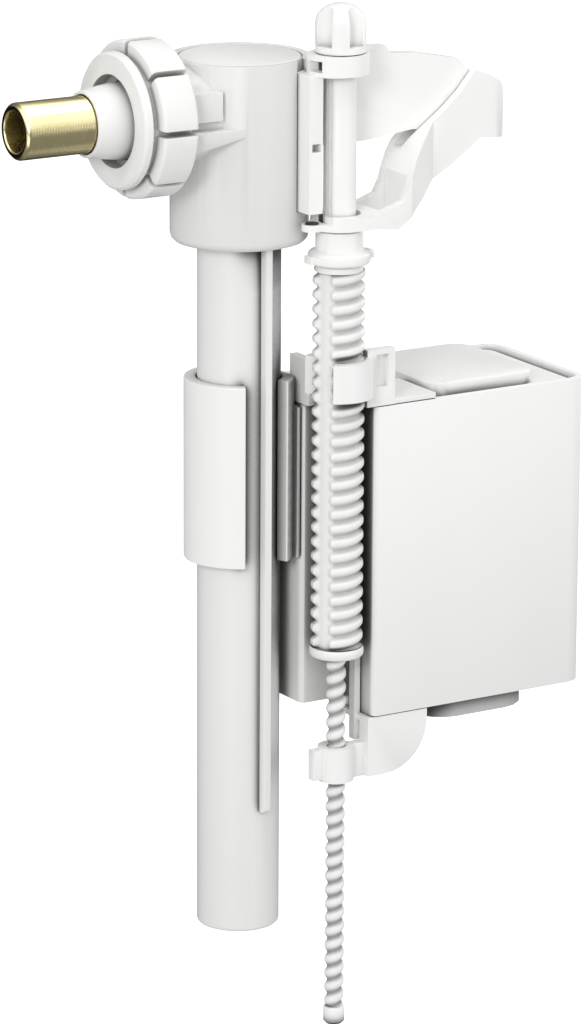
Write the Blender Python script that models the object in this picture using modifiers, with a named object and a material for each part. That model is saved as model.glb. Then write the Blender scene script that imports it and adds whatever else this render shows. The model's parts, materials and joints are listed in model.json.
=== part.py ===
"""Side-inlet float valve for a toilet cistern, built as separate pieces in metres, +Z up.

The origin is the middle of the inlet boss's front shoulder, on the inlet axis. +X runs from the
inlet to the float, and the spindle stands on the -Y side of the downpipe.
"""

import math

import bmesh
import bpy
from mathutils import Matrix, Vector

MM = 0.001

# Clearances
GAP = 0.3 * MM
RUNNING_GAP = 0.6 * MM

# Inlet: positions along X are measured from the boss's front shoulder
INLET_REACH = 52.1 * MM
INLET_DROP = 1.8 * MM
TAIL_RADIUS = 8.33 * MM
TAIL_BORE_RADIUS = 6.0 * MM
TAIL_REACH = 22.5 * MM
TAIL_CHAMFER = 1.0 * MM
TAIL_COLLAR_RADIUS = 10.2 * MM
TAIL_COLLAR_THICKNESS = 2.5 * MM
BUSH_NOSE_RADIUS = 9.7 * MM
BUSH_RADIUS = 11.2 * MM
BUSH_FLANGE_RADIUS = 14.8 * MM
BUSH_FLANGE_THICKNESS = 2.8 * MM
BUSH_LENGTH = 18.6 * MM
WASHER_THICKNESS = 2.0 * MM
SPIGOT_BORE_RADIUS = 6.0 * MM
SPIGOT_RADIUS = 14.8 * MM
STRAINER_LENGTH = 14.0 * MM
STRAINER_WALL = 0.9 * MM
RESTRICTOR_LENGTH = 2.6 * MM
RESTRICTOR_HOLE_RADIUS = 3.0 * MM

# Union nut
NUT_FRONT = 9.3 * MM
NUT_LENGTH = 16.0 * MM
NUT_EDGE = 0.8 * MM
NUT_RING_RADIUS = 20.0 * MM
NUT_RING_THICKNESS = 2.6 * MM
NUT_RECESS_RADIUS = 13.6 * MM
NUT_RECESS_DEPTH = 4.0 * MM
NUT_LIP_THICKNESS = 2.2 * MM
NUT_HUB_RADIUS = 18.4 * MM
NUT_LUG_START = 4.6 * MM
NUT_LUG_RADIUS = 23.1 * MM
NUT_LUG_COUNT = 8
NUT_SLOT_WIDTH = 1.9 * MM
NUT_TURN = math.radians(2.0)

# Valve body, on the downpipe's axis
BODY_RADIUS = 20.4 * MM
BODY_TOP = 13.7 * MM
BODY_BOTTOM = -41.0 * MM
BODY_EDGE = 2.5 * MM
CAP_SEAT_RADIUS = BODY_RADIUS - 2.0 * MM
CAP_FLANGE_THICKNESS = 4.7 * MM
CAP_SKIRT_WALL = 1.9 * MM
CAP_EDGE = 0.6 * MM
CAP_ROOF = 3.5 * MM
CHAMBER_RADIUS = BODY_RADIUS - 3.0 * MM
CHANNEL_RADIUS = BODY_RADIUS - 5.0 * MM
CHANNEL_DEPTH = 13.2 * MM
SEAT_TOP = 1.2 * MM
SEAT_RADIUS = 10.5 * MM
OUTLET_RADIUS = 8.0 * MM
DIAPHRAGM_THICKNESS = 1.6 * MM
INSERT_RADIUS = 12.5 * MM
INSERT_THICKNESS = 2.0 * MM
INSERT_STEM_RADIUS = 3.0 * MM
INSERT_STEM_LENGTH = 8.0 * MM
GUSSET_REACH = BODY_RADIUS - 2.0 * MM
GUSSET_TOP = -4.3 * MM
GUSSET_ROOT_HEIGHT = 6.0 * MM
GUSSET_TIP_HEIGHT = 2.0 * MM
GUSSET_TIP_X = -7.0 * MM
BLOCK_REACH = 16.5 * MM
BLOCK_LOW = -1.6 * MM
BLOCK_HIGH = 6.8 * MM
BLOCK_END_X = -15.3 * MM

# Downpipe
PIPE_RADIUS = 12.4 * MM
PIPE_WALL = 2.0 * MM
PIPE_BOTTOM = -251.5 * MM
PIPE_SOCKET_DEPTH = 19.0 * MM
SEAL_THICKNESS = 1.8 * MM
RAIL_WIDTH = 2.2 * MM
RAIL_REACH = 15.5 * MM
RAIL_BOTTOM = -214.0 * MM

# Spindle axis, from the downpipe's axis
SPINDLE_X = 20.6 * MM
SPINDLE_Y = -(BODY_RADIUS + 1.9 * MM)
SHAFT_RADIUS = 4.8 * MM
THREAD_PITCH = 4.4 * MM
COARSE_CREST = 7.8 * MM
COARSE_ROOT = 6.3 * MM
COARSE_TOP = -49.8 * MM
COARSE_BOTTOM = -162.7 * MM
END_COLLAR_RADIUS = 8.1 * MM
END_COLLAR_HEIGHT = 2.6 * MM
END_COLLAR_EDGE = 0.8 * MM
THIN_CREST = 2.95 * MM
THIN_ROOT = 2.1 * MM
THIN_BOTTOM = -278.4 * MM
THIN_BLOCK_RADIUS = 3.4 * MM
THIN_BLOCK_HEIGHT = 3.0 * MM
SHOULDER_RADIUS = 7.2 * MM
MERGE = 1.0 * MM

# The spindle's two flutes, and the two plain strips in its coarse thread: strip angles are taken
# from the middle of a strip, and the thread runs full from the second of them to the other strip
FLUTE_AZIMUTH = math.radians(-71.0)
FLUTE_WIDTH = 2.6 * MM
FLUTE_DEPTH = 1.9 * MM
STRIP_ANGLES = (0, 18, 24, 50, 77, 103, 130, 156, 162)
STRIP_HALF = 18
THIN_SIDES = 9

# Knob and eyelet
KNOB_RADIUS = 7.4 * MM
KNOB_TOP = 30.6 * MM
KNOB_DOME = 5.5 * MM
KNOB_SOCKET_DEPTH = 8.0 * MM
KNOB_STUB_RADIUS = 2.4 * MM
KNOB_GRIPS = 4
KNOB_GRIP_RADIUS = 3.2 * MM
KNOB_GRIP_START = 2.0 * MM
KNOB_AZIMUTH = math.radians(-76.4)
EYELET_TOP = 16.0 * MM
EYELET_BOTTOM = 10.0 * MM
EYELET_WALL = 3.0 * MM
EYELET_STRETCH = 1.8 * MM
WINDOW_SILL = 1.4 * MM

# Lever bracket: a plate in the XZ plane, with the pivot at its far end. Its edges are written as
# shares of the pivot's reach and of the body's height above the datum
PLATE_FRONT = -17.0 * MM
PLATE_BACK = -13.0 * MM
PIVOT_X = 73.0 * MM
PIVOT_Z = -7.0 * MM
PLATE_END_RADIUS = 5.2 * MM
PLATE_UNDERSIDE = ((0.452, -0.876), (0.671, -0.745), (0.836, -0.912))
PLATE_TOPSIDE = (
    (0.945, 0.365),
    (0.885, 0.686),
    (0.685, 0.905),
    (0.564, 0.950),
    (0.540, 1.131),
    (0.477, 1.146),
    (0.441, 0.963),
)
PIN_RADIUS = 2.5 * MM
PIN_SKIN = 0.8 * MM
COLUMN_X = 8.6 * MM
COLUMN_WIDTH = 4.6 * MM
COLUMN_FRONT = -(BODY_RADIUS + 4.6 * MM)
COLUMN_BOTTOM = -30.2 * MM
COLUMN_GROOVE = 1.4 * MM
NOZZLE_X = COLUMN_X + COLUMN_WIDTH / 2
NOZZLE_Y = -(BODY_RADIUS + 2.4 * MM)
NOZZLE_RADIUS = 1.3 * MM
NOZZLE_HOLE_RADIUS = 0.5 * MM
NOZZLE_DEPTH = 4.0 * MM
NOZZLE_STEP = 0.2 * MM

# Lever: its side outline is written as shares of the way from the spindle to the pivot, and of the
# rise from the top of its ring to the pivot
LEVER_RING_TOP = -31.4 * MM
LEVER_RING_THICKNESS = 4.0 * MM
LEVER_RING_WALL = 3.4 * MM
LEVER_ARM_THICKNESS = 2.8 * MM
LEVER_SLOT_STRETCH = 1.0 * MM
LEVER_TOPSIDE = (
    (0.92, 1.533),
    (0.821, 1.287),
    (0.721, 1.098),
    (0.523, 0.787),
    (0.42, 0.59),
    (0.368, 0.418),
    (0.355, 0.299),
    (0.313, 0.131),
    (0.214, 0.057),
    (0.103, 0.0),
)
LEVER_UNDERSIDE = (
    (0.141, -0.164),
    (0.281, -0.201),
    (0.412, -0.012),
    (0.504, 0.074),
    (0.62, 0.238),
    (0.788, 0.443),
    (0.954, 0.697),
    (1.11, 0.67),
    (1.138, 0.74),
    (1.153, 0.898),
    (1.151, 1.205),
    (1.09, 1.365),
    (1.021, 1.451),
)
NOSE_X = PIVOT_X + 2.7 * MM
NOSE_WALL = 2.0 * MM
CHEEK_THICKNESS = 3.0 * MM
CHEEK_START_X = 54.0 * MM
FORK_START_X = 56.0 * MM
PLATE_CLEAR_Z = -15.5 * MM
FLARE_X = 46.0 * MM
ARM_END_X = 40.0 * MM
WINDOW_START = 0.8 * MM
TONGUE_RADIUS = 3.0 * MM
TONGUE_TOP = -33.4 * MM
COLUMN_CLEARANCE = 1.3 * MM
PAD_RADIUS = 1.9 * MM
PAD_PROUD = 0.35 * MM
PAD_DEPTH = 1.0 * MM

# Swivel collar
COLLAR_RADIUS = 7.0 * MM
COLLAR_FLANGE_RADIUS = 9.2 * MM
COLLAR_FLANGE_THICKNESS = 3.6 * MM
COLLAR_BOTTOM = -46.0 * MM
COLLAR_EDGE = 0.6 * MM
COLLAR_TAB_REACH = 1.6 * MM
COLLAR_TAB_WIDTH = 4.0 * MM

# Float
FLOAT_LEFT = 14.5 * MM
FLOAT_RIGHT = 107.5 * MM
FLOAT_FRONT = -26.0 * MM
FLOAT_BACK = 26.0 * MM
FLOAT_TOP = -90.2 * MM
FLOAT_BOTTOM = -185.5 * MM
FLOAT_STEP = 3.2 * MM
FLOAT_WALL = 2.0 * MM
FLOAT_CORNER = 6.0 * MM
FLOAT_EDGE = 1.2 * MM
LID_LEDGE = 1.4 * MM
LID_RECESS = 1.2 * MM
LID_THICKNESS = 2.4 * MM
LID_GUTTER = 1.7 * MM
LID_HUMP_HEIGHT = 4.2 * MM
LID_HUMP_EDGE = 2.0 * MM
NOTCH_RIGHT = 31.2 * MM
NOTCH_BACK = -12.3 * MM
FOOT_LEFT = 54.5 * MM
FOOT_RIGHT = 92.0 * MM
FOOT_HALF_WIDTH = 21.0 * MM
FOOT_CORNER = 10.0 * MM
FOOT_HEIGHT = 6.2 * MM
FOOT_EDGE = 3.4 * MM

# Guide that slides on the downpipe
GUIDE_RADIUS = 16.4 * MM
GUIDE_TOP = -82.0 * MM
GUIDE_BOTTOM = -137.0 * MM
GUIDE_OPENING = math.radians(27.0)

# Upper clip, on the coarse thread
CLIP_TOP = -74.7 * MM
CLIP_HEIGHT = 11.4 * MM
CLIP_WALL = 2.2 * MM
CLIP_OPENING = math.radians(50.0)
CLIP_PLATE_RIGHT = 38.0 * MM
CLIP_PLATE_THICKNESS = 3.0 * MM
CLIP_PLATE_RISE = 2.0 * MM
CLIP_WINDOW_LEFT = 31.5 * MM
CLIP_WINDOW_RIGHT = 35.8 * MM
CLIP_WINDOW_HEIGHT = 9.9 * MM
CLIP_WINDOW_DEPTH = 2.0 * MM
CLIP_FOOT_RIGHT = 52.5 * MM
CLIP_FOOT_BACK = -5.0 * MM
CLIP_FOOT_THICKNESS = 1.6 * MM
CLIP_KEY_LEFT = 36.0 * MM
CLIP_KEY_RIGHT = 48.0 * MM
CLIP_KEY_FRONT = -20.0 * MM
CLIP_KEY_BACK = -11.0 * MM
CLIP_BLOCK_WIDTH = 2.6 * MM
CLIP_BLOCK_FRONT = -15.5 * MM
CLIP_BLOCK_TOP = -76.0 * MM

# Lower clip, on the thin tail
LOWER_CLIP_TOP = -193.5 * MM
LOWER_CLIP_HEIGHT = 10.6 * MM
LOWER_CLIP_TAB = 8.6 * MM
WEB_LEFT = NOTCH_RIGHT - 1.4 * MM
WEB_RIGHT = 50.7 * MM
WEB_FRONT = FLOAT_FRONT + GAP
WEB_THICKNESS = 4.8 * MM
WEB_CURVE = 15.0 * MM
NECK_THICKNESS = 3.0 * MM
WEB_FLANGE_BACK = -6.0 * MM
WEB_FLANGE_THICKNESS = 1.8 * MM
RIB_WIDTH = 1.9 * MM
RIB_FRONT = -19.3 * MM
RIB_BACK = -16.3 * MM
RIB_TOP = -168.0 * MM
RIB_BOTTOM = -194.0 * MM

WHITE = (0.86, 0.86, 0.85, 1.0)
BRASS = (0.72, 0.55, 0.24, 1.0)
RUBBER = (0.03, 0.03, 0.032, 1.0)


def clear_scene():
    for old in list(bpy.data.objects):
        bpy.data.objects.remove(old)


def make_collection(name):
    collection = bpy.data.collections.new(name)
    bpy.context.scene.collection.children.link(collection)
    return collection


def make_material(name, colour, roughness, metallic=0.0):
    material = bpy.data.materials.new(name)
    material.use_nodes = True
    shader = material.node_tree.nodes["Principled BSDF"]
    shader.inputs["Base Color"].default_value = colour
    shader.inputs["Roughness"].default_value = roughness
    shader.inputs["Metallic"].default_value = metallic
    return material


def make_axis(name, place, parent=None):
    """An empty on which a group of pieces stands."""
    axis = bpy.data.objects.new(name, None)
    axis.location = place
    axis.parent = parent
    axis.empty_display_size = 0.01
    PARTS.objects.link(axis)
    return axis


def add_object(name, mesh, axis, place=(0, 0, 0), turn=(0, 0, 0), tool=False):
    """Puts a mesh in the scene, as a piece of the valve or as a tool that shapes one."""
    thing = bpy.data.objects.new(name, mesh)
    thing.parent = axis
    thing.location = place
    thing.rotation_euler = turn
    if tool:
        TOOLS.objects.link(thing)
        thing.hide_render = True
        thing.display_type = "WIRE"
    else:
        PARTS.objects.link(thing)
    return thing


def mesh_from(bm, name):
    bmesh.ops.recalc_face_normals(bm, faces=bm.faces)
    mesh = bpy.data.meshes.new(name)
    bm.to_mesh(mesh)
    bm.free()
    return mesh


def block(name, axis, low, high, tool=False, turn=(0, 0, 0)):
    """A box between two corners, with its origin at its middle."""
    low, high = Vector(low), Vector(high)
    bm = bmesh.new()
    bmesh.ops.create_cube(bm, size=1.0, matrix=Matrix.Diagonal((*(high - low), 1.0)))
    return add_object(name, mesh_from(bm, name), axis, (low + high) / 2, turn, tool)


def rod(name, axis, radius, start, end, tool=False, sides=32):
    """A plain cylinder between two points that lie along X, Y or Z."""
    start, end = Vector(start), Vector(end)
    bm = bmesh.new()
    bmesh.ops.create_cone(
        bm, cap_ends=True, segments=sides, radius1=radius, radius2=radius, depth=(end - start).length
    )
    turn = (end - start).to_track_quat("Z", "Y").to_euler()
    return add_object(name, mesh_from(bm, name), axis, (start + end) / 2, turn, tool)


def turned(name, axis, profile, place=(0, 0, 0), along="Z", closed=False, sides=48, tool=False):
    """Turns a profile about Z, or about X. It is written as (radius, height) points down its outer
    side, or as (radius, x) points from the front to the back."""
    mesh = bpy.data.meshes.new(name)
    upright = along == "Z"
    points = [(radius, 0.0, height if upright else -height) for radius, height in profile]
    edges = [(i, i + 1) for i in range(len(points) - 1)]
    if closed:
        edges.append((len(points) - 1, 0))
    mesh.from_pydata(points, edges, [])
    turn = (0, 0, 0) if upright else (0, -math.pi / 2, 0)
    thing = add_object(name, mesh, axis, place, turn, tool)
    screw = thing.modifiers.new("turn", "SCREW")
    screw.steps = screw.render_steps = sides
    screw.use_merge_vertices = True
    screw.merge_threshold = 1e-6
    return thing


def arc(centre, radius, start, end, count):
    """Points round a centre, from one angle to another."""
    return [
        (
            centre[0] + radius * math.cos(start + (end - start) * i / count),
            centre[1] + radius * math.sin(start + (end - start) * i / count),
        )
        for i in range(count + 1)
    ]


def rounded(corners, quarter=4):
    """An outline through (x, y, fillet radius) corners, with each fillet as an arc."""
    outline = []
    for i, (x, y, radius) in enumerate(corners):
        here = Vector((x, y))
        back = (Vector(corners[i - 1][:2]) - here).normalized()
        ahead = (Vector(corners[(i + 1) % len(corners)][:2]) - here).normalized()
        if radius <= 0:
            outline.append((x, y))
            continue
        half = back.angle(ahead) / 2
        centre = here + (back + ahead).normalized() * (radius / math.sin(half))
        first = here + back * (radius / math.tan(half)) - centre
        sweep = math.pi - 2 * half
        if back.cross(ahead) > 0:
            sweep = -sweep
        count = max(1, math.ceil(quarter * abs(sweep) / (math.pi / 2)))
        for j in range(count + 1):
            spoke = first.copy()
            spoke.rotate(Matrix.Rotation(sweep * j / count, 2))
            outline.append(tuple(centre + spoke))
    return outline


def slab(name, axis, outline, low, high, plane="XY", holes=(), tool=False):
    """A flat outline given thickness: in XY it spans low to high in Z, in XZ it spans them in Y,
    and in YZ it spans them in X."""
    curve = bpy.data.curves.new(name, "CURVE")
    curve.dimensions = "2D"
    curve.fill_mode = "BOTH"
    curve.extrude = (high - low) / 2
    for ring in (outline, *holes):
        spline = curve.splines.new("POLY")
        spline.points.add(len(ring) - 1)
        spline.use_cyclic_u = True
        for point, (x, y) in zip(spline.points, ring):
            point.co = (x, y, 0.0, 1.0)
    flat = bpy.data.objects.new(name + "_outline", curve)
    PARTS.objects.link(flat)
    solid = bpy.data.meshes.new_from_object(flat.evaluated_get(bpy.context.evaluated_depsgraph_get()))
    bpy.data.objects.remove(flat)
    bpy.data.curves.remove(curve)
    bm = bmesh.new()
    bm.from_mesh(solid)
    bpy.data.meshes.remove(solid)
    bmesh.ops.remove_doubles(bm, verts=bm.verts, dist=1e-6)
    middle = (low + high) / 2
    turns = {"XY": (0, 0, 0), "XZ": (math.pi / 2, 0, 0), "YZ": (math.pi / 2, 0, math.pi / 2)}
    places = {"XY": (0, 0, middle), "XZ": (0, middle, 0), "YZ": (middle, 0, 0)}
    return add_object(name, mesh_from(bm, name), axis, places[plane], turns[plane], tool)


def join(part, tool):
    boolean(part, tool, "UNION")


def cut(part, tool):
    boolean(part, tool, "DIFFERENCE")


def boolean(part, tool, operation):
    modifier = part.modifiers.new(tool.name, "BOOLEAN")
    modifier.operation = operation
    modifier.object = tool


def soften(part, width, segments=1, angle=50.0):
    """Rounds the edges that turn by more than the angle."""
    bevel = part.modifiers.new("soften", "BEVEL")
    bevel.width = width
    bevel.segments = segments
    bevel.limit_method = "ANGLE"
    bevel.angle_limit = math.radians(angle)


def finish(part, material):
    part.data.materials.append(material)
    part.data.shade_smooth()
    part.data.set_sharp_from_angle(angle=math.radians(35.0))
    return part


def thread_mesh(name, root, crest, top, bottom, angles, strips=(), growth=0.0):
    """A right-hand threaded rod. Three rows of points to a turn climb along the helix, so that each
    crest is one unbroken line, and the rod ends in a plain ring at each end. angles are the places
    of the points round the axis, in radians, strips those of them where the thread is cut down to
    its root, and growth the clearance of a thread that is cut into a clip."""
    wider = 0.5 * growth / THREAD_PITCH
    root += growth
    crest += growth
    rows = ((0.0, root), (0.4 - wider, crest), (0.66 + wider, crest))
    turns = math.ceil((top - bottom) / THREAD_PITCH) + 2
    first = angles[0]
    bm = bmesh.new()
    grid = []
    for turn in range(turns):
        for share, radius in rows:
            row = []
            for angle in angles:
                height = bottom + THREAD_PITCH * (turn - 1 + share + (angle - first) / (2 * math.pi))
                reach = root if angle in strips else radius
                if height <= bottom or height >= top:
                    reach = root
                height = min(max(height, bottom), top)
                row.append(bm.verts.new((reach * math.cos(angle), reach * math.sin(angle), height)))
            grid.append(row)
    lead = len(rows)
    for i in range(len(grid) - 1):
        for side in range(len(angles) - 1):
            bm.faces.new((grid[i][side], grid[i][side + 1], grid[i + 1][side + 1], grid[i + 1][side]))
        if i + lead + 1 < len(grid):
            seam = (grid[i][-1], grid[i + lead][0], grid[i + lead + 1][0], grid[i + 1][-1])
            bm.faces.new(seam)
    bmesh.ops.remove_doubles(bm, verts=bm.verts, dist=1e-6)
    bmesh.ops.dissolve_degenerate(bm, edges=bm.edges, dist=1e-7)
    loose = [v for v in bm.verts if not v.link_faces]
    bmesh.ops.delete(bm, geom=loose, context="VERTS")
    bmesh.ops.holes_fill(bm, edges=[e for e in bm.edges if e.is_boundary], sides=0)
    bmesh.ops.triangulate(bm, faces=bm.faces)
    return mesh_from(bm, name)


def coarse_angles():
    """The places of the coarse thread's points round the axis, and those in its two plain strips."""
    strip_middle = FLUTE_AZIMUTH - math.pi / 2
    angles = []
    strips = []
    for half in (0, 180):
        for offset in STRIP_ANGLES:
            angle = strip_middle + math.radians(half + offset)
            angles.append(angle)
            if offset <= STRIP_HALF or offset >= 180 - STRIP_HALF:
                strips.append(angle)
    return angles, strips


def thin_angles():
    return [2 * math.pi * side / THIN_SIDES for side in range(THIN_SIDES)]


def cut_thread(part, axis, root, crest, thread_bottom, low, high, angles):
    """Cuts a clip with the spindle's thread, in step with the thread that starts at thread_bottom."""
    turns_up = math.floor((low - thread_bottom) / THREAD_PITCH) - 2
    bottom = thread_bottom + THREAD_PITCH * turns_up
    name = part.name + "_thread"
    mesh = thread_mesh(name, root, crest, high + 2 * THREAD_PITCH, bottom, angles, growth=GAP)
    cut(part, add_object(name, mesh, axis, (SPINDLE_X, SPINDLE_Y, 0), tool=True))


def inlet_pieces(shoulder):
    """The brass tail, its boss, the strainer, the washer and the flow restrictor."""
    collar_start = BUSH_LENGTH - TAIL_COLLAR_THICKNESS - GAP
    tail = turned(
        "inlet_tail",
        shoulder,
        [
            (TAIL_BORE_RADIUS + TAIL_CHAMFER / 2, -TAIL_REACH),
            (TAIL_RADIUS - TAIL_CHAMFER, -TAIL_REACH),
            (TAIL_RADIUS, -TAIL_REACH + TAIL_CHAMFER),
            (TAIL_RADIUS, collar_start),
            (TAIL_COLLAR_RADIUS, collar_start),
            (TAIL_COLLAR_RADIUS, collar_start + TAIL_COLLAR_THICKNESS),
            (TAIL_BORE_RADIUS, collar_start + TAIL_COLLAR_THICKNESS),
            (TAIL_BORE_RADIUS, -TAIL_REACH + TAIL_CHAMFER / 2),
        ],
        along="X",
        closed=True,
        sides=32,
    )
    finish(tail, make_material("brass", BRASS, 0.28, 1.0))

    cone_end = NUT_FRONT + TAIL_CHAMFER
    flange_start = BUSH_LENGTH - BUSH_FLANGE_THICKNESS
    bush = turned(
        "inlet_bush",
        shoulder,
        [
            (TAIL_RADIUS + GAP, 0),
            (BUSH_NOSE_RADIUS, 0),
            (BUSH_RADIUS, cone_end),
            (BUSH_RADIUS, flange_start),
            (BUSH_FLANGE_RADIUS, flange_start),
            (BUSH_FLANGE_RADIUS, BUSH_LENGTH),
            (TAIL_COLLAR_RADIUS + GAP, BUSH_LENGTH),
            (TAIL_COLLAR_RADIUS + GAP, collar_start - GAP),
            (TAIL_RADIUS + GAP, collar_start - GAP),
        ],
        along="X",
        closed=True,
        sides=32,
    )
    finish(bush, make_material("bush_plastic", WHITE, 0.42))

    washer_start = BUSH_LENGTH + GAP
    washer = turned(
        "union_washer",
        shoulder,
        [
            (SPIGOT_BORE_RADIUS + GAP, washer_start),
            (BUSH_FLANGE_RADIUS, washer_start),
            (BUSH_FLANGE_RADIUS, washer_start + WASHER_THICKNESS),
            (SPIGOT_BORE_RADIUS + GAP, washer_start + WASHER_THICKNESS),
        ],
        along="X",
        closed=True,
        sides=24,
    )
    finish(washer, make_material("washer_rubber", RUBBER, 0.8))

    rim = TAIL_BORE_RADIUS - GAP
    tip = 0.55 * rim
    back = collar_start
    front = back - STRAINER_LENGTH
    strainer = turned(
        "inlet_strainer",
        shoulder,
        [
            (0, front),
            (tip, front),
            (rim, back),
            (rim - STRAINER_WALL, back),
            (tip - STRAINER_WALL, front + STRAINER_WALL),
            (0, front + STRAINER_WALL),
        ],
        along="X",
        sides=20,
    )
    for i in range(2):
        slot_low = (front + 3 * STRAINER_WALL, -STRAINER_WALL, -2 * rim)
        slot_high = (back - 3 * STRAINER_WALL, STRAINER_WALL, 2 * rim)
        slot = block(f"strainer_slot_{i}", shoulder, slot_low, slot_high, True, (i * math.pi / 2, 0, 0))
        cut(strainer, slot)
    finish(strainer, make_material("strainer_plastic", (0.75, 0.76, 0.74, 1), 0.5))

    spigot_front = washer_start + WASHER_THICKNESS + GAP
    restrictor = turned(
        "flow_restrictor",
        shoulder,
        [
            (RESTRICTOR_HOLE_RADIUS, spigot_front + GAP),
            (SPIGOT_BORE_RADIUS - GAP, spigot_front + GAP),
            (SPIGOT_BORE_RADIUS - GAP, spigot_front + GAP + RESTRICTOR_LENGTH),
            (RESTRICTOR_HOLE_RADIUS, spigot_front + GAP + RESTRICTOR_LENGTH),
        ],
        along="X",
        closed=True,
        sides=20,
    )
    finish(restrictor, make_material("restrictor_plastic", (0.35, 0.42, 0.5, 1), 0.5))
    return spigot_front


def union_nut(nut_axis):
    """The castellated nut: a thin front ring, and a crown of lugs with slots between them."""
    bore = SPIGOT_RADIUS + GAP
    lip_end = NUT_RECESS_DEPTH + NUT_LIP_THICKNESS
    nut = turned(
        "union_nut",
        nut_axis,
        [
            (NUT_RECESS_RADIUS, 0),
            (NUT_RING_RADIUS - NUT_EDGE, 0),
            (NUT_RING_RADIUS, NUT_EDGE),
            (NUT_RING_RADIUS, NUT_RING_THICKNESS),
            (NUT_HUB_RADIUS, NUT_RING_THICKNESS + NUT_EDGE),
            (NUT_HUB_RADIUS, NUT_LUG_START),
            (NUT_LUG_RADIUS - NUT_EDGE, NUT_LUG_START),
            (NUT_LUG_RADIUS, NUT_LUG_START + NUT_EDGE),
            (NUT_LUG_RADIUS, NUT_LENGTH - NUT_EDGE),
            (NUT_LUG_RADIUS - NUT_EDGE, NUT_LENGTH),
            (bore, NUT_LENGTH),
            (bore, lip_end),
            (BUSH_RADIUS + GAP, lip_end),
            (BUSH_RADIUS + GAP, NUT_RECESS_DEPTH),
            (NUT_RECESS_RADIUS, NUT_RECESS_DEPTH),
        ],
        along="X",
        closed=True,
        sides=48,
    )
    slot_low = (NUT_LUG_START - GAP, -NUT_SLOT_WIDTH / 2, NUT_HUB_RADIUS)
    slot_high = (NUT_LENGTH + GAP, NUT_SLOT_WIDTH / 2, 2 * NUT_LUG_RADIUS)
    middle = NUT_HUB_RADIUS / 2 + NUT_LUG_RADIUS
    for i in range(NUT_LUG_COUNT):
        angle = NUT_TURN + 2 * math.pi * i / NUT_LUG_COUNT
        slot = block(f"nut_slot_{i}", nut_axis, slot_low, slot_high, True, (angle, 0, 0))
        slot.location.y = -middle * math.sin(angle)
        slot.location.z = middle * math.cos(angle)
        cut(nut, slot)
    finish(nut, make_material("nut_plastic", WHITE, 0.45))


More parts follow.
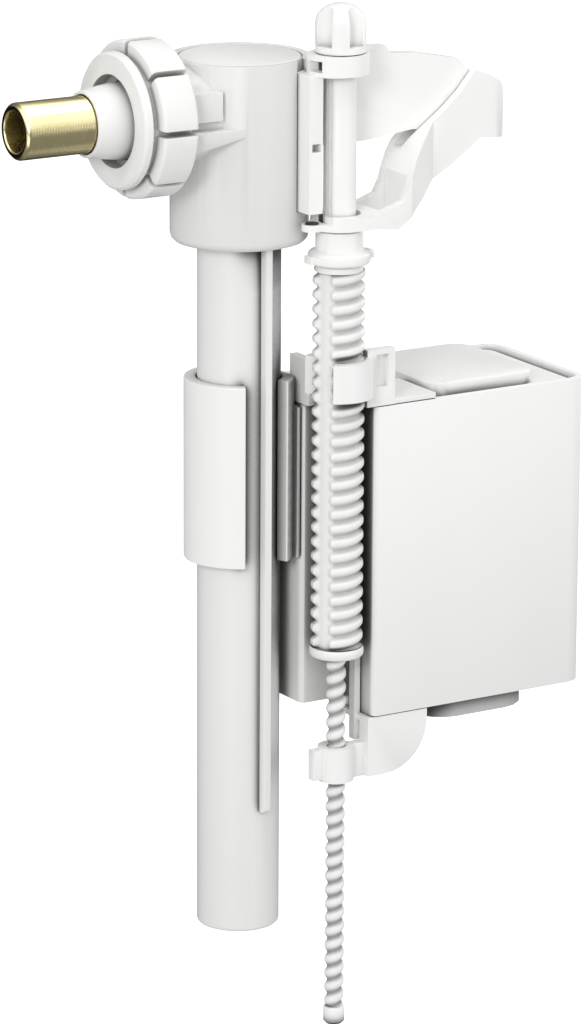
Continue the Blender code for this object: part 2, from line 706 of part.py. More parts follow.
def body_pieces(pipe_axis, spigot_front):
    """The valve body, its cap, and the servo diaphragm inside."""
    edge = BODY_EDGE
    body = turned(
        "valve_body",
        pipe_axis,
        [(0, BODY_TOP), (BODY_RADIUS, BODY_TOP)]
        + [
            (x, y)
            for x, y in reversed(arc((BODY_RADIUS - edge, BODY_BOTTOM + edge), edge, -math.pi / 2, 0, 3))
        ]
        + [(0, BODY_BOTTOM)],
        sides=48,
    )
    front = spigot_front - INLET_REACH
    inlet_z = -INLET_DROP
    spigot_end = (-SEAT_RADIUS, 0, inlet_z)
    join(body, rod("spigot", pipe_axis, SPIGOT_RADIUS, (front, 0, inlet_z), spigot_end, True, 40))
    root = NUT_FRONT + NUT_LENGTH + GAP - INLET_REACH
    gusset_outline = [
        (root, GUSSET_TOP),
        (GUSSET_TIP_X, GUSSET_TOP),
        (GUSSET_TIP_X, GUSSET_TOP - GUSSET_TIP_HEIGHT),
        (root, GUSSET_TOP - GUSSET_ROOT_HEIGHT),
    ]
    join(body, slab("gussets", pipe_axis, gusset_outline, -GUSSET_REACH, GUSSET_REACH, "XZ", tool=True))
    block_low = (root, -BLOCK_REACH, BLOCK_LOW)
    block_high = (BLOCK_END_X, BLOCK_REACH, BLOCK_HIGH)
    join(body, block("shoulder_blocks", pipe_axis, block_low, block_high, True))

    seal_top = BODY_BOTTOM + PIPE_SOCKET_DEPTH
    chamber = turned(
        "chamber",
        pipe_axis,
        [
            (0, BODY_TOP + edge),
            (CAP_SEAT_RADIUS, BODY_TOP + edge),
            (CAP_SEAT_RADIUS, BODY_TOP - CAP_FLANGE_THICKNESS - GAP),
            (CHAMBER_RADIUS, BODY_TOP - CAP_FLANGE_THICKNESS - GAP),
            (CHAMBER_RADIUS, SEAT_TOP),
            (CHANNEL_RADIUS, SEAT_TOP),
            (CHANNEL_RADIUS, SEAT_TOP - CHANNEL_DEPTH),
            (SEAT_RADIUS, SEAT_TOP - CHANNEL_DEPTH),
            (SEAT_RADIUS, SEAT_TOP),
            (OUTLET_RADIUS, SEAT_TOP),
            (OUTLET_RADIUS, seal_top),
            (PIPE_RADIUS + GAP, seal_top),
            (PIPE_RADIUS + GAP, BODY_BOTTOM - edge),
            (0, BODY_BOTTOM - edge),
        ],
        sides=48,
        tool=True,
    )
    cut(body, chamber)
    bore_start = (front - edge, 0, inlet_z)
    bore_end = (-(SEAT_RADIUS + CHANNEL_RADIUS) / 2, 0, inlet_z)
    cut(body, rod("inlet_bore", pipe_axis, SPIGOT_BORE_RADIUS, bore_start, bore_end, True, 24))
    groove_reach = BODY_RADIUS - COLUMN_GROOVE - GAP
    groove = block(
        "column_groove",
        pipe_axis,
        (COLUMN_X - GAP, COLUMN_FRONT, COLUMN_BOTTOM - GAP),
        (COLUMN_X + COLUMN_WIDTH + GAP, -CHANNEL_RADIUS / 2, BODY_TOP + edge),
        True,
    )
    core_low, core_high = (0, 0, 2 * BODY_BOTTOM), (0, 0, -BODY_BOTTOM)
    core = rod("groove_core", pipe_axis, groove_reach, core_low, core_high, True, 48)
    cut(groove, core)
    cut(body, groove)
    finish(body, make_material("body_plastic", WHITE, 0.45))

    flange_bottom = BODY_TOP - CAP_FLANGE_THICKNESS
    skirt_bottom = SEAT_TOP + GAP + DIAPHRAGM_THICKNESS + GAP
    skirt = CHAMBER_RADIUS - GAP
    roof = BODY_TOP - CAP_ROOF
    cap = turned(
        "body_cap",
        pipe_axis,
        [
            (0, BODY_TOP),
            (CAP_SEAT_RADIUS - GAP - CAP_EDGE, BODY_TOP),
            (CAP_SEAT_RADIUS - GAP, BODY_TOP - CAP_EDGE),
            (CAP_SEAT_RADIUS - GAP, flange_bottom),
            (skirt, flange_bottom),
            (skirt, skirt_bottom),
            (skirt - CAP_SKIRT_WALL, skirt_bottom),
            (skirt - CAP_SKIRT_WALL, roof),
            (0, roof),
        ],
        sides=40,
    )
    finish(cap, make_material("cap_plastic", WHITE, 0.45))

    rubber = make_material("diaphragm_rubber", RUBBER, 0.8)
    low = SEAT_TOP + GAP
    stem_hole = INSERT_STEM_RADIUS + GAP
    diaphragm = turned(
        "diaphragm",
        pipe_axis,
        [
            (stem_hole, low + DIAPHRAGM_THICKNESS),
            (CHAMBER_RADIUS - GAP, low + DIAPHRAGM_THICKNESS),
            (CHAMBER_RADIUS - GAP, low),
            (stem_hole, low),
        ],
        closed=True,
        sides=32,
    )
    finish(diaphragm, rubber)

    disc_low = low + DIAPHRAGM_THICKNESS + GAP
    insert = turned(
        "diaphragm_insert",
        pipe_axis,
        [
            (0, disc_low + INSERT_THICKNESS),
            (INSERT_RADIUS, disc_low + INSERT_THICKNESS),
            (INSERT_RADIUS, disc_low),
            (INSERT_STEM_RADIUS, disc_low),
            (INSERT_STEM_RADIUS, disc_low - INSERT_STEM_LENGTH),
            (0, disc_low - INSERT_STEM_LENGTH),
        ],
        sides=24,
    )
    finish(insert, make_material("insert_plastic", (0.8, 0.8, 0.78, 1), 0.5))
    return seal_top


def downpipe_pieces(pipe_axis, seal_top):
    """The outlet pipe with its guide rail, and the ring that seals it in the body."""
    pipe_top = seal_top - SEAL_THICKNESS - 2 * GAP
    bore = PIPE_RADIUS - PIPE_WALL
    edge = PIPE_WALL * 0.6
    outer_end = reversed(arc((PIPE_RADIUS - edge, PIPE_BOTTOM + edge), edge, -math.pi / 2, 0, 3))
    pipe = turned(
        "downpipe",
        pipe_axis,
        [(PIPE_RADIUS, pipe_top)] + list(outer_end) + [(bore, PIPE_BOTTOM), (bore, pipe_top)],
        closed=True,
        sides=40,
    )
    inner = PIPE_RADIUS - PIPE_WALL / 2
    rail_top = BODY_BOTTOM - GAP
    tip = (RAIL_REACH - inner) / 2
    outline = [(-inner, rail_top), (-RAIL_REACH, rail_top), (-RAIL_REACH, RAIL_BOTTOM + tip)]
    outline += arc((tip - RAIL_REACH, RAIL_BOTTOM + tip), tip, math.pi, 3 * math.pi / 2, 3)[1:]
    outline.append((-inner, RAIL_BOTTOM))
    rail = slab("rail", pipe_axis, outline, 0.0, RAIL_WIDTH, "YZ", tool=True)
    join(pipe, rail)
    finish(pipe, make_material("pipe_plastic", WHITE, 0.42))

    seal = turned(
        "downpipe_seal",
        pipe_axis,
        [
            (PIPE_RADIUS, seal_top - GAP),
            (PIPE_RADIUS, seal_top - GAP - SEAL_THICKNESS),
            (bore, seal_top - GAP - SEAL_THICKNESS),
            (bore, seal_top - GAP),
        ],
        closed=True,
        sides=32,
    )
    finish(seal, make_material("seal_rubber", RUBBER, 0.8))


def bracket_pieces(pipe_axis, pivot_axis):
    """The fixed arm that carries the eyelet and the pivot, its nozzle, and the hinge pin."""
    outline = [(COLUMN_X, PLATE_UNDERSIDE[0][1] * BODY_TOP)]
    outline += [(x * PIVOT_X, z * BODY_TOP) for x, z in PLATE_UNDERSIDE]
    outline += arc((PIVOT_X, PIVOT_Z), PLATE_END_RADIUS, -math.pi / 2, math.pi / 6, 7)
    outline += [(x * PIVOT_X, z * BODY_TOP) for x, z in PLATE_TOPSIDE]
    outline.append((COLUMN_X, PLATE_TOPSIDE[-1][1] * BODY_TOP))
    bracket = slab("lever_bracket", pipe_axis, outline, PLATE_FRONT, PLATE_BACK, "XZ")

    hole = SHAFT_RADIUS + RUNNING_GAP
    ring = hole + EYELET_WALL
    left = SPINDLE_X - ring - EYELET_STRETCH
    right = SPINDLE_X + ring
    loop = long_hole(left, right, SPINDLE_Y, ring)
    join(bracket, slab("eyelet", pipe_axis, loop, EYELET_BOTTOM, EYELET_TOP, tool=True))
    wall_ends = ((0, 0, 2 * BODY_BOTTOM), (0, 0, -BODY_BOTTOM))
    cut(bracket, rod("body_wall", pipe_axis, BODY_RADIUS + GAP, *wall_ends, True, 48))
    column_low = (COLUMN_X, COLUMN_FRONT, COLUMN_BOTTOM)
    column_high = (COLUMN_X + COLUMN_WIDTH, -CHANNEL_RADIUS / 2, EYELET_BOTTOM + GAP)
    column = block("column", pipe_axis, column_low, column_high, True)
    cut(column, rod("groove_wall", pipe_axis, BODY_RADIUS - COLUMN_GROOVE, *wall_ends, True, 48))
    join(bracket, column)
    inner_left = left + EYELET_WALL
    opening = long_hole(inner_left, right - EYELET_WALL, SPINDLE_Y, hole)
    cut(bracket, slab("eyelet_hole", pipe_axis, opening, EYELET_BOTTOM - ring, EYELET_TOP + ring, tool=True))
    window_low = (left - EYELET_WALL, SPINDLE_Y - hole * 0.8, EYELET_BOTTOM + WINDOW_SILL)
    window_high = (inner_left + EYELET_WALL, SPINDLE_Y + hole * 0.1, EYELET_TOP - WINDOW_SILL)
    cut(bracket, block("eyelet_window", pipe_axis, window_low, window_high, True))
    pin_hole_start = (0, 2 * PLATE_FRONT, 0)
    cut(bracket, rod("bracket_pin_hole", pivot_axis, PIN_RADIUS + GAP, pin_hole_start, (0, 0, 0), True, 20))
    socket_low = (NOZZLE_X, NOZZLE_Y, COLUMN_BOTTOM - GAP)
    socket_high = (NOZZLE_X, NOZZLE_Y, COLUMN_BOTTOM + NOZZLE_DEPTH + GAP)
    cut(bracket, rod("nozzle_socket", pipe_axis, NOZZLE_RADIUS + GAP, socket_low, socket_high, True, 16))
    finish(bracket, make_material("bracket_plastic", WHITE, 0.45))

    nozzle = turned(
        "pilot_nozzle",
        pipe_axis,
        [
            (NOZZLE_HOLE_RADIUS, COLUMN_BOTTOM + NOZZLE_DEPTH),
            (NOZZLE_RADIUS, COLUMN_BOTTOM + NOZZLE_DEPTH),
            (NOZZLE_RADIUS, COLUMN_BOTTOM - NOZZLE_STEP),
            (NOZZLE_HOLE_RADIUS, COLUMN_BOTTOM - NOZZLE_STEP),
        ],
        place=(NOZZLE_X, NOZZLE_Y, 0),
        closed=True,
        sides=16,
    )
    finish(nozzle, make_material("nozzle_plastic", (0.7, 0.7, 0.68, 1), 0.4))

    pin_start = (0, PLATE_FRONT - GAP - CHEEK_THICKNESS + PIN_SKIN + GAP, 0)
    pin_end = (0, PLATE_BACK + GAP + CHEEK_THICKNESS, 0)
    pin = rod("lever_pin", pivot_axis, PIN_RADIUS, pin_start, pin_end, False, 20)
    finish(pin, make_material("pin_plastic", (0.8, 0.8, 0.79, 1), 0.4))


def long_hole(left, right, y, radius):
    """A hole or boss with round ends, longer along X."""
    near = arc((right - radius, y), radius, -math.pi / 2, math.pi / 2, 10)
    far = arc((left + radius, y), radius, math.pi / 2, 3 * math.pi / 2, 10)
    return near + far


def lever_pieces(pivot_axis):
    """The forked lever. It is the part that its side outline and its plan have in common, less the
    slot for the bracket's plate, the window between its arms and the slot for the spindle. All of
    it is placed from the pivot."""
    near_cheek = PLATE_FRONT - GAP - CHEEK_THICKNESS
    far_cheek = PLATE_BACK + GAP + CHEEK_THICKNESS
    hole = SHAFT_RADIUS + RUNNING_GAP
    ring = hole + LEVER_RING_WALL
    spindle_x = SPINDLE_X - PIVOT_X
    top = LEVER_RING_TOP - PIVOT_Z
    bottom = top - LEVER_RING_THICKNESS
    tongue_x = NOZZLE_X - PIVOT_X
    left = tongue_x - TONGUE_RADIUS

    def along(points):
        return [(spindle_x * (1 - u), top * (1 - v)) for u, v in points]

    side = along(LEVER_TOPSIDE) + [(left - GAP, top), (left - GAP, bottom)] + along(LEVER_UNDERSIDE)
    lever = slab("lever", pivot_axis, side, SPINDLE_Y - 2 * ring, ring, "XZ")
    nose_y = (near_cheek + far_cheek) / 2
    nose = arc((NOSE_X - PIVOT_X, nose_y), (far_cheek - near_cheek) / 2, -math.pi / 2, math.pi / 2, 8)
    plan = nose + [
        (FLARE_X - PIVOT_X, far_cheek),
        (ARM_END_X - PIVOT_X, SPINDLE_Y + ring),
    ]
    plan += arc((spindle_x, SPINDLE_Y), ring, math.pi / 2, 3 * math.pi / 2, 12)
    plan += [
        (ARM_END_X - PIVOT_X, SPINDLE_Y - ring),
        (CHEEK_START_X - PIVOT_X, near_cheek),
    ]
    reach = 2 * SPINDLE_X
    footprint = slab("lever_plan", pivot_axis, plan, -reach, reach, tool=True)
    tongue = arc((tongue_x, NOZZLE_Y), TONGUE_RADIUS, math.pi / 2, 3 * math.pi / 2, 8)
    tongue += [(spindle_x - hole, NOZZLE_Y - TONGUE_RADIUS), (spindle_x - hole, NOZZLE_Y + TONGUE_RADIUS)]
    join(footprint, slab("tongue", pivot_axis, tongue, -reach, reach, tool=True))
    boolean(lever, footprint, "INTERSECT")

    plate_near = PLATE_FRONT - GAP
    plate_far = PLATE_BACK + GAP
    nose_inside = NOSE_X + (far_cheek - near_cheek) / 2 - NOSE_WALL - PIVOT_X
    fork_low = (FORK_START_X - PIVOT_X, plate_near, -reach)
    cut(lever, block("fork_slot", pivot_axis, fork_low, (nose_inside, plate_far, reach), True))
    groove_low = (SPINDLE_X + ring - PIVOT_X, plate_near, PLATE_CLEAR_Z - PIVOT_Z)
    groove_high = (FORK_START_X + NOSE_WALL - PIVOT_X, plate_far, reach)
    cut(lever, block("plate_groove", pivot_axis, groove_low, groove_high, True))
    window_low = (spindle_x + ring + WINDOW_START, SPINDLE_Y - ring + LEVER_ARM_THICKNESS, -reach)
    window_high = (ARM_END_X - PIVOT_X, SPINDLE_Y + ring - LEVER_ARM_THICKNESS, reach)
    cut(lever, block("arm_window", pivot_axis, window_low, window_high, True))
    slot_reach = hole + LEVER_SLOT_STRETCH
    slot = long_hole(spindle_x - slot_reach, spindle_x + slot_reach, SPINDLE_Y, hole)
    cut(lever, slab("lever_slot", pivot_axis, slot, bottom - ring, top + ring, tool=True))
    tongue_top = TONGUE_TOP - PIVOT_Z
    relief_low = (left - ring, SPINDLE_Y - 2 * ring, tongue_top)
    relief_high = (COLUMN_X + COLUMN_WIDTH + COLUMN_CLEARANCE - PIVOT_X, SPINDLE_Y + 2 * ring, top + ring)
    cut(lever, block("column_relief", pivot_axis, relief_low, relief_high, True))
    pin_hole_start = (0, near_cheek + PIN_SKIN, 0)
    cut(lever, rod("lever_pin_hole", pivot_axis, PIN_RADIUS + GAP, pin_hole_start, (0, ring, 0), True, 20))
    pocket_low = (tongue_x, NOZZLE_Y, tongue_top - PAD_DEPTH - GAP)
    pocket_high = (tongue_x, NOZZLE_Y, tongue_top + ring)
    cut(lever, rod("pad_pocket", pivot_axis, PAD_RADIUS + GAP, pocket_low, pocket_high, True, 16))
    finish(lever, make_material("lever_plastic", WHITE, 0.45))

    pad_low = (tongue_x, NOZZLE_Y, tongue_top - PAD_DEPTH)
    pad_high = (tongue_x, NOZZLE_Y, tongue_top + PAD_PROUD)
    pad = rod("pilot_pad", pivot_axis, PAD_RADIUS, pad_low, pad_high, False, 16)
    finish(pad, make_material("pad_rubber", RUBBER, 0.8))


def swivel_collar(spindle_axis):
    """The collar on which the lever's ring rests and in which the spindle turns."""
    top = LEVER_RING_TOP - LEVER_RING_THICKNESS - GAP
    flange_top = COLLAR_BOTTOM + COLLAR_FLANGE_THICKNESS
    edge = COLLAR_EDGE
    collar = turned(
        "swivel_collar",
        spindle_axis,
        [
            (COLLAR_RADIUS - edge, top),
            (COLLAR_RADIUS, top - edge),
            (COLLAR_RADIUS, flange_top + edge),
            (COLLAR_FLANGE_RADIUS - edge, flange_top),
            (COLLAR_FLANGE_RADIUS, flange_top - edge),
            (COLLAR_FLANGE_RADIUS, COLLAR_BOTTOM + edge),
            (COLLAR_FLANGE_RADIUS - edge, COLLAR_BOTTOM),
            (SHAFT_RADIUS + GAP, COLLAR_BOTTOM),
            (SHAFT_RADIUS + GAP, top),
        ],
        closed=True,
        sides=32,
    )
    for side in (-1, 1):
        inner = side * (COLLAR_FLANGE_RADIUS - 2 * COLLAR_TAB_REACH)
        outer = side * (COLLAR_FLANGE_RADIUS + COLLAR_TAB_REACH)
        tab_low = (min(inner, outer), -COLLAR_TAB_WIDTH / 2, COLLAR_BOTTOM + edge)
        tab_high = (max(inner, outer), COLLAR_TAB_WIDTH / 2, flange_top - edge)
        join(collar, block(f"collar_tab_{side}", spindle_axis, tab_low, tab_high, True))
    finish(collar, make_material("collar_plastic", WHITE, 0.45))


def spindle_pieces(spindle_axis):
    """The spindle is one moulding: a fluted shaft, the coarse thread, an end collar and the thin
    threaded tail. The knob sits on the stub at its top."""
    knob_bottom = EYELET_TOP + GAP
    stub_top = knob_bottom + KNOB_SOCKET_DEPTH - GAP
    shoulder_top = COLLAR_BOTTOM - GAP
    angles, strips = coarse_angles()
    mesh = thread_mesh("spindle", COARSE_ROOT, COARSE_CREST, COARSE_TOP, COARSE_BOTTOM, angles, strips)
    spindle = add_object("spindle", mesh, spindle_axis)
    shaft = turned(
        "shaft",
        spindle_axis,
        [
            (0, stub_top),
            (KNOB_STUB_RADIUS, stub_top),
            (KNOB_STUB_RADIUS, EYELET_TOP),
            (SHAFT_RADIUS, EYELET_TOP),
            (SHAFT_RADIUS, shoulder_top),
            (SHOULDER_RADIUS, shoulder_top),
            (SHOULDER_RADIUS, COARSE_TOP - MERGE),
            (0, COARSE_TOP - MERGE),
        ],
        sides=24,
        tool=True,
    )
    join(spindle, shaft)
    collar_bottom = COARSE_BOTTOM - END_COLLAR_HEIGHT
    end_collar = turned(
        "end_collar",
        spindle_axis,
        [
            (0, COARSE_BOTTOM + MERGE / 2),
            (COARSE_CREST - MERGE / 2, COARSE_BOTTOM + MERGE / 2),
            (END_COLLAR_RADIUS, COARSE_BOTTOM - END_COLLAR_EDGE),
            (END_COLLAR_RADIUS, collar_bottom + END_COLLAR_EDGE),
            (END_COLLAR_RADIUS - END_COLLAR_EDGE, collar_bottom),
            (0, collar_bottom),
        ],
        sides=24,
        tool=True,
    )
    join(spindle, end_collar)
    tail_mesh = thread_mesh("tail", THIN_ROOT, THIN_CREST, collar_bottom + MERGE, THIN_BOTTOM, thin_angles())
    join(spindle, add_object("thin_tail", tail_mesh, spindle_axis, tool=True))
    end_block = turned(
        "end_block",
        spindle_axis,
        [
            (0, THIN_BOTTOM + MERGE / 2),
            (THIN_BLOCK_RADIUS, THIN_BOTTOM + MERGE / 2),
            (THIN_BLOCK_RADIUS, THIN_BOTTOM - THIN_BLOCK_HEIGHT + MERGE),
            (THIN_BLOCK_RADIUS - MERGE, THIN_BOTTOM - THIN_BLOCK_HEIGHT),
            (0, THIN_BOTTOM - THIN_BLOCK_HEIGHT),
        ],
        sides=12,
        tool=True,
    )
    join(spindle, end_block)
    flute_reach = SHAFT_RADIUS - FLUTE_DEPTH / 2 + GAP
    flute_low = (-FLUTE_WIDTH / 2, -FLUTE_DEPTH / 2 - GAP, LEVER_RING_TOP)
    flute_high = (FLUTE_WIDTH / 2, FLUTE_DEPTH / 2 + GAP, EYELET_BOTTOM)
    for i in range(2):
        angle = FLUTE_AZIMUTH + math.pi * i
        flute = block(f"flute_{i}", spindle_axis, flute_low, flute_high, True, (0, 0, angle))
        flute.location.x = flute_reach * math.sin(angle)
        flute.location.y = -flute_reach * math.cos(angle)
        cut(spindle, flute)
    finish(spindle, make_material("spindle_plastic", WHITE, 0.42))

    dome_start = KNOB_TOP - KNOB_DOME
    flatness = KNOB_DOME / KNOB_RADIUS
    dome = arc((0, dome_start), KNOB_RADIUS, math.pi / 2, 0, 5)
    dome = [(radius, dome_start + (z - dome_start) * flatness) for radius, z in dome]
    bore = KNOB_STUB_RADIUS + GAP
    knob = turned(
        "spindle_knob",
        spindle_axis,
        dome
        + [
            (KNOB_RADIUS, knob_bottom),
            (bore, knob_bottom),
            (bore, knob_bottom + KNOB_SOCKET_DEPTH),
            (0, knob_bottom + KNOB_SOCKET_DEPTH),
        ],
        sides=32,
    )
    for i in range(KNOB_GRIPS):
        angle = KNOB_AZIMUTH + 2 * math.pi * i / KNOB_GRIPS
        x, y = KNOB_RADIUS * math.sin(angle), -KNOB_RADIUS * math.cos(angle)
        grip_low = (x, y, knob_bottom + KNOB_GRIP_START)
        grip_high = (x, y, KNOB_TOP + KNOB_GRIP_START)
        cut(knob, rod(f"grip_{i}", spindle_axis, KNOB_GRIP_RADIUS, grip_low, grip_high, True, 16))
    finish(knob, make_material("knob_plastic", WHITE, 0.4))


def float_outline(inset, corner, gutter=0.0):
    """The float seen from above, with its notch for the spindle, moved inwards by the inset, and on
    the right by the gutter too."""
    right = FLOAT_RIGHT - inset - gutter
    return rounded(
        [
            (FLOAT_LEFT + inset, FLOAT_BACK - inset, corner),
            (FLOAT_LEFT + inset, NOTCH_BACK + inset, corner / 3),
            (NOTCH_RIGHT + inset, NOTCH_BACK + inset, corner / 4),
            (NOTCH_RIGHT + inset, FLOAT_FRONT + inset, corner / 3),
            (right, FLOAT_FRONT + inset, corner),
            (right, FLOAT_BACK - inset, corner),
        ]
    )


def tray_outline(corner):
    """The outline that the lid's hump and the foot share."""
    return rounded(
        [
            (FOOT_LEFT, -FOOT_HALF_WIDTH, corner),
            (FOOT_RIGHT, -FOOT_HALF_WIDTH, corner),
            (FOOT_RIGHT, FOOT_HALF_WIDTH, corner),
            (FOOT_LEFT, FOOT_HALF_WIDTH, corner),
        ]
    )


def float_pieces(float_axis):
    """The box float: shell, lid, tray under it, and the sleeve that slides on the downpipe."""
    shell = slab("float_shell", float_axis, float_outline(0, FLOAT_CORNER), FLOAT_BOTTOM, FLOAT_TOP)
    soften(shell, FLOAT_EDGE, 2)
    wide = 2 * FLOAT_BACK
    step_low = (-wide, -wide, 2 * FLOAT_BOTTOM)
    step_high = (NOTCH_RIGHT, wide, FLOAT_BOTTOM + FLOAT_STEP)
    cut(shell, block("float_step", float_axis, step_low, step_high, True))
    lid_top = FLOAT_TOP - LID_RECESS
    lid_bottom = lid_top - LID_THICKNESS
    inner = FLOAT_CORNER - FLOAT_WALL
    floor = FLOAT_BOTTOM + FLOAT_WALL
    above = FLOAT_TOP + FLOAT_WALL
    hollow_outline = float_outline(FLOAT_WALL + LID_LEDGE, inner, LID_GUTTER)
    hollow = slab("float_hollow", float_axis, hollow_outline, floor, above, tool=True)
    raised_floor = (NOTCH_RIGHT + FLOAT_WALL, wide, floor + FLOAT_STEP)
    cut(hollow, block("raised_floor", float_axis, step_low, raised_floor, True))
    cut(shell, hollow)
    rim_outline = float_outline(FLOAT_WALL, inner)
    cut(shell, slab("float_rim", float_axis, rim_outline, lid_bottom - GAP, above, tool=True))
    finish(shell, make_material("float_plastic", (0.84, 0.84, 0.84, 1), 0.5))

    lid_outline = float_outline(FLOAT_WALL + GAP, inner, LID_GUTTER)
    lid = slab("float_lid", float_axis, lid_outline, lid_bottom, lid_top)
    hump_top = lid_top + LID_HUMP_HEIGHT
    hump = slab("lid_hump", float_axis, tray_outline(FLOAT_CORNER), lid_top - GAP, hump_top, tool=True)
    soften(hump, LID_HUMP_EDGE, 2)
    join(lid, hump)
    finish(lid, make_material("lid_plastic", WHITE, 0.45))

    foot_top = FLOAT_BOTTOM - GAP
    foot = slab("float_foot", float_axis, tray_outline(FOOT_CORNER), foot_top - FOOT_HEIGHT, foot_top)
    soften(foot, FOOT_EDGE, 3)
    finish(foot, make_material("foot_plastic", (0.8, 0.8, 0.8, 1), 0.45))

    wall_left = FLOAT_LEFT - GAP
    bore = PIPE_RADIUS + GAP
    guide = turned(
        "float_guide",
        float_axis,
        [(GUIDE_RADIUS, GUIDE_TOP), (GUIDE_RADIUS, GUIDE_BOTTOM), (bore, GUIDE_BOTTOM), (bore, GUIDE_TOP)],
        closed=True,
        sides=40,
    )
    reach = 3 * GUIDE_RADIUS
    beyond_low = (wall_left, -reach, GUIDE_BOTTOM - bore)
    beyond_high = (wall_left + reach, reach, GUIDE_TOP + bore)
    cut(guide, block("float_side", float_axis, beyond_low, beyond_high, True))
    pad_low = (bore + GAP, NOTCH_BACK + GAP, GUIDE_BOTTOM)
    pad_high = (wall_left, GUIDE_RADIUS + GAP, FLOAT_TOP - 2 * GAP)
    join(guide, block("guide_pad", float_axis, pad_low, pad_high, True))
    half = reach * math.tan(GUIDE_OPENING)
    middle = RAIL_WIDTH / 2
    wedge = [(middle, 0), (middle - half, -reach), (middle + half, -reach)]
    cut(guide, slab("guide_opening", float_axis, wedge, GUIDE_BOTTOM - bore, GUIDE_TOP + bore, tool=True))
    finish(guide, make_material("guide_plastic", WHITE, 0.45))


def upper_clip(float_axis):
    """The clip on the coarse thread, with the plate and the foot that hold it on the float. It is cut
    with the spindle's thread, grown by the clearance, so that turning the spindle walks the float
    along it."""
    clip_bottom = CLIP_TOP - CLIP_HEIGHT
    outer = COARSE_CREST + GAP + CLIP_WALL
    ring_low = (SPINDLE_X, SPINDLE_Y, clip_bottom)
    ring_high = (SPINDLE_X, SPINDLE_Y, CLIP_TOP)
    clip = rod("upper_clip", float_axis, outer, ring_low, ring_high, False, 40)
    plate_bottom = FLOAT_TOP + GAP
    plate_low = (SPINDLE_X + COARSE_CREST, FLOAT_FRONT, plate_bottom)
    plate_high = (CLIP_PLATE_RIGHT, FLOAT_FRONT + CLIP_PLATE_THICKNESS, CLIP_TOP + CLIP_PLATE_RISE)
    join(clip, block("clip_plate", float_axis, plate_low, plate_high, True))
    window_low = (CLIP_WINDOW_LEFT, FLOAT_FRONT - GAP, CLIP_TOP + GAP - CLIP_WINDOW_HEIGHT)
    window_high = (CLIP_WINDOW_RIGHT, FLOAT_FRONT + CLIP_WINDOW_DEPTH, CLIP_TOP + GAP)
    cut(clip, block("clip_window", float_axis, window_low, window_high, True))
    foot_front = FLOAT_FRONT + GAP
    foot_outline = [
        (FLOAT_LEFT, NOTCH_BACK),
        (NOTCH_RIGHT, NOTCH_BACK),
        (NOTCH_RIGHT, foot_front),
        (CLIP_FOOT_RIGHT, foot_front),
        (CLIP_FOOT_RIGHT, CLIP_FOOT_BACK),
        (FLOAT_LEFT, CLIP_FOOT_BACK),
    ]
    foot_top = plate_bottom + CLIP_FOOT_THICKNESS
    join(clip, slab("clip_foot", float_axis, foot_outline, plate_bottom, foot_top, tool=True))
    end_low = (FLOAT_LEFT, CLIP_BLOCK_FRONT, plate_bottom)
    end_high = (FLOAT_LEFT + CLIP_BLOCK_WIDTH, CLIP_FOOT_BACK, CLIP_BLOCK_TOP)
    join(clip, block("clip_end", float_axis, end_low, end_high, True))
    key_low = (CLIP_KEY_LEFT, CLIP_KEY_FRONT, FLOAT_TOP - LID_RECESS + GAP)
    key_high = (CLIP_KEY_RIGHT, CLIP_KEY_BACK, plate_bottom + GAP)
    join(clip, block("clip_key", float_axis, key_low, key_high, True))
    angles = coarse_angles()[0]
    cut_thread(clip, float_axis, COARSE_ROOT, COARSE_CREST, COARSE_BOTTOM, clip_bottom, CLIP_TOP, angles)
    reach = COARSE_CREST + GAP + 2 * CLIP_WALL
    half = reach * math.tan(CLIP_OPENING)
    mouth = [
        (SPINDLE_X, SPINDLE_Y),
        (SPINDLE_X - reach, SPINDLE_Y + half),
        (SPINDLE_X - reach, SPINDLE_Y - half),
    ]
    cut(clip, slab("clip_mouth", float_axis, mouth, clip_bottom - GAP, CLIP_TOP + GAP, tool=True))
    finish(clip, make_material("clip_plastic", WHITE, 0.45))


